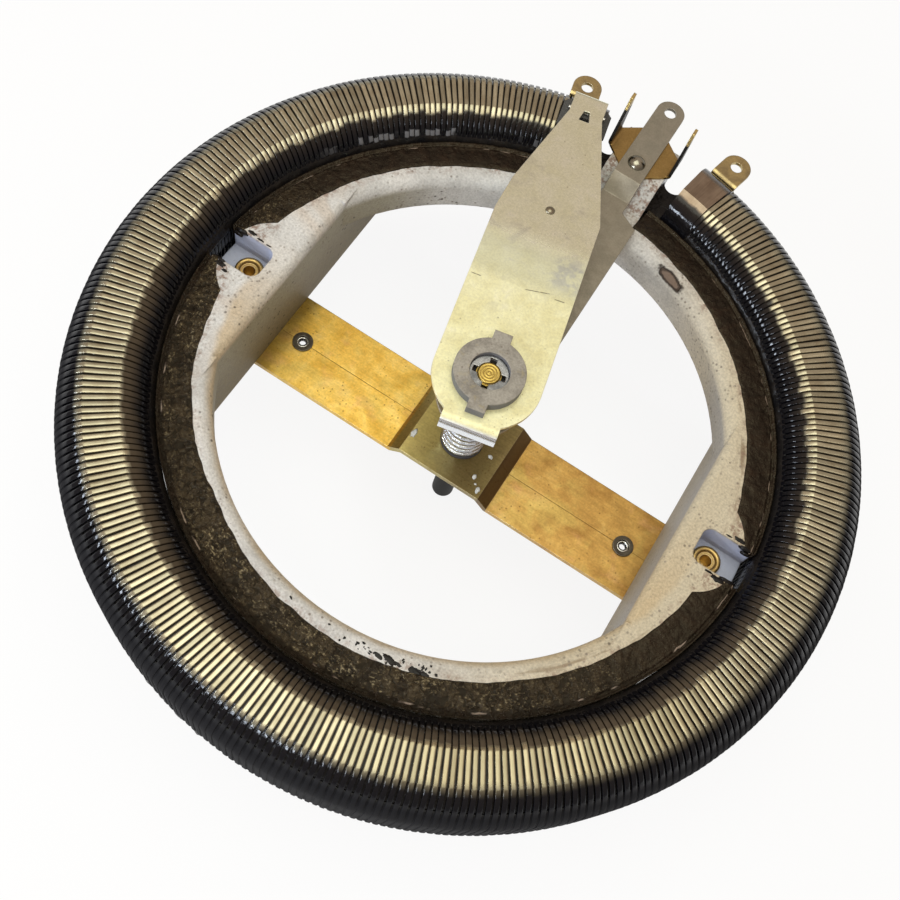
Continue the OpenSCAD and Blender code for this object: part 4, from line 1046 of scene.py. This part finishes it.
def build_floor(level):
    """A wide pale floor at the part's lowest point."""
    corners = [(x * FLOOR_REACH, y * FLOOR_REACH, level) for x, y in ((-1, -1), (1, -1), (1, 1), (-1, 1))]
    mesh = bpy.data.meshes.new("floor")
    mesh.from_pydata(corners, [], [(0, 1, 2, 3)])
    floor = bpy.data.objects.new("floor", mesh)
    bpy.context.scene.collection.objects.link(floor)
    g = Graph("floor")
    g.finish(color=(0.92, 0.92, 0.91), roughness=0.85, level=0.1)
    glow = g.add("ShaderNodeEmission")
    g.feed(glow.inputs["Color"], (1.0, 1.0, 1.0))
    g.feed(glow.inputs["Strength"], 1.0)
    path = g.add("ShaderNodeLightPath").outputs
    mirrored = g.math("MAXIMUM", path["Is Glossy Ray"], path["Is Transmission Ray"])
    seen = g.math("MAXIMUM", path["Is Camera Ray"], mirrored)
    mix = g.add("ShaderNodeMixShader")
    g.feed(mix.inputs[0], g.times(seen, FLOOR_GLOW))
    g.tree.links.new(g.shader.outputs[0], mix.inputs[1])
    g.tree.links.new(glow.outputs[0], mix.inputs[2])
    g.tree.links.new(mix.outputs[0], g.tree.nodes["Material Output"].inputs["Surface"])
    mesh.materials.append(g.material)


def light_world():
    """A dim warm room, darker towards the horizon."""
    world = bpy.data.worlds.new("room")
    world.use_nodes = True
    tree = world.node_tree
    bpy.context.scene.world = world
    split = tree.nodes.new("ShaderNodeSeparateXYZ")
    tree.links.new(tree.nodes.new("ShaderNodeTexCoord").outputs["Generated"], split.inputs[0])
    ramp = tree.nodes.new("ShaderNodeValToRGB")
    bar = ramp.color_ramp.elements
    bar[0].position, bar[0].color = 0.0, (0.30, 0.28, 0.26, 1.0)
    bar[1].position, bar[1].color = 0.6, (0.52, 0.42, 0.35, 1.0)
    tree.links.new(split.outputs["Z"], ramp.inputs[0])
    tree.links.new(ramp.outputs["Color"], tree.nodes["Background"].inputs["Color"])


def area_light(name, place, target, size, radiance, color):
    """A soft rectangular lamp of that size and radiance, aimed at a point."""
    lamp = bpy.data.lights.new(name, "AREA")
    lamp.shape = "RECTANGLE"
    lamp.size, lamp.size_y = size
    lamp.energy = radiance * math.pi * size[0] * size[1]
    lamp.color = color
    obj = bpy.data.objects.new(name, lamp)
    obj.location = place
    aim = Vector(target) - Vector(place)
    obj.rotation_euler = aim.to_track_quat("-Z", "Y").to_euler()
    bpy.context.scene.collection.objects.link(obj)


def place_camera():
    """The photograph's viewpoint, solved from the part's own sizes."""
    ahead = Vector(CAMERA_AHEAD).normalized()
    right = ahead.cross(Vector(CAMERA_UP)).normalized()
    up = right.cross(ahead)
    ahead = (ahead - right * AIM_SHIFT).normalized()
    right = ahead.cross(up).normalized()
    camera = bpy.data.cameras.new("camera")
    camera.lens = LENS_MM
    camera.sensor_width = SENSOR_MM
    camera.clip_start = 0.01
    obj = bpy.data.objects.new("camera", camera)
    turn = Matrix((right, up, -ahead)).transposed()
    obj.matrix_world = Matrix.Translation(CAMERA_PLACE) @ turn.to_4x4()
    bpy.context.scene.collection.objects.link(obj)
    bpy.context.scene.camera = obj


bpy.context.scene.view_settings.view_transform = "Standard"
looks = dress_nodes()
ribbon_look = winding()
build_winding(ribbon_look)
build_coat(ribbon_look)
build_bond(brown_enamel())
build_fillet(looks["winding_core"])
build_drips(looks["winding_core"])
build_land_marks(looks["winding_core"])
build_paint_spots(paint())
build_threads(looks["brush_pin"])
build_floor(cad_box[0][2])
light_world()
for lamp in LAMPS:
    area_light(*lamp)
place_camera()
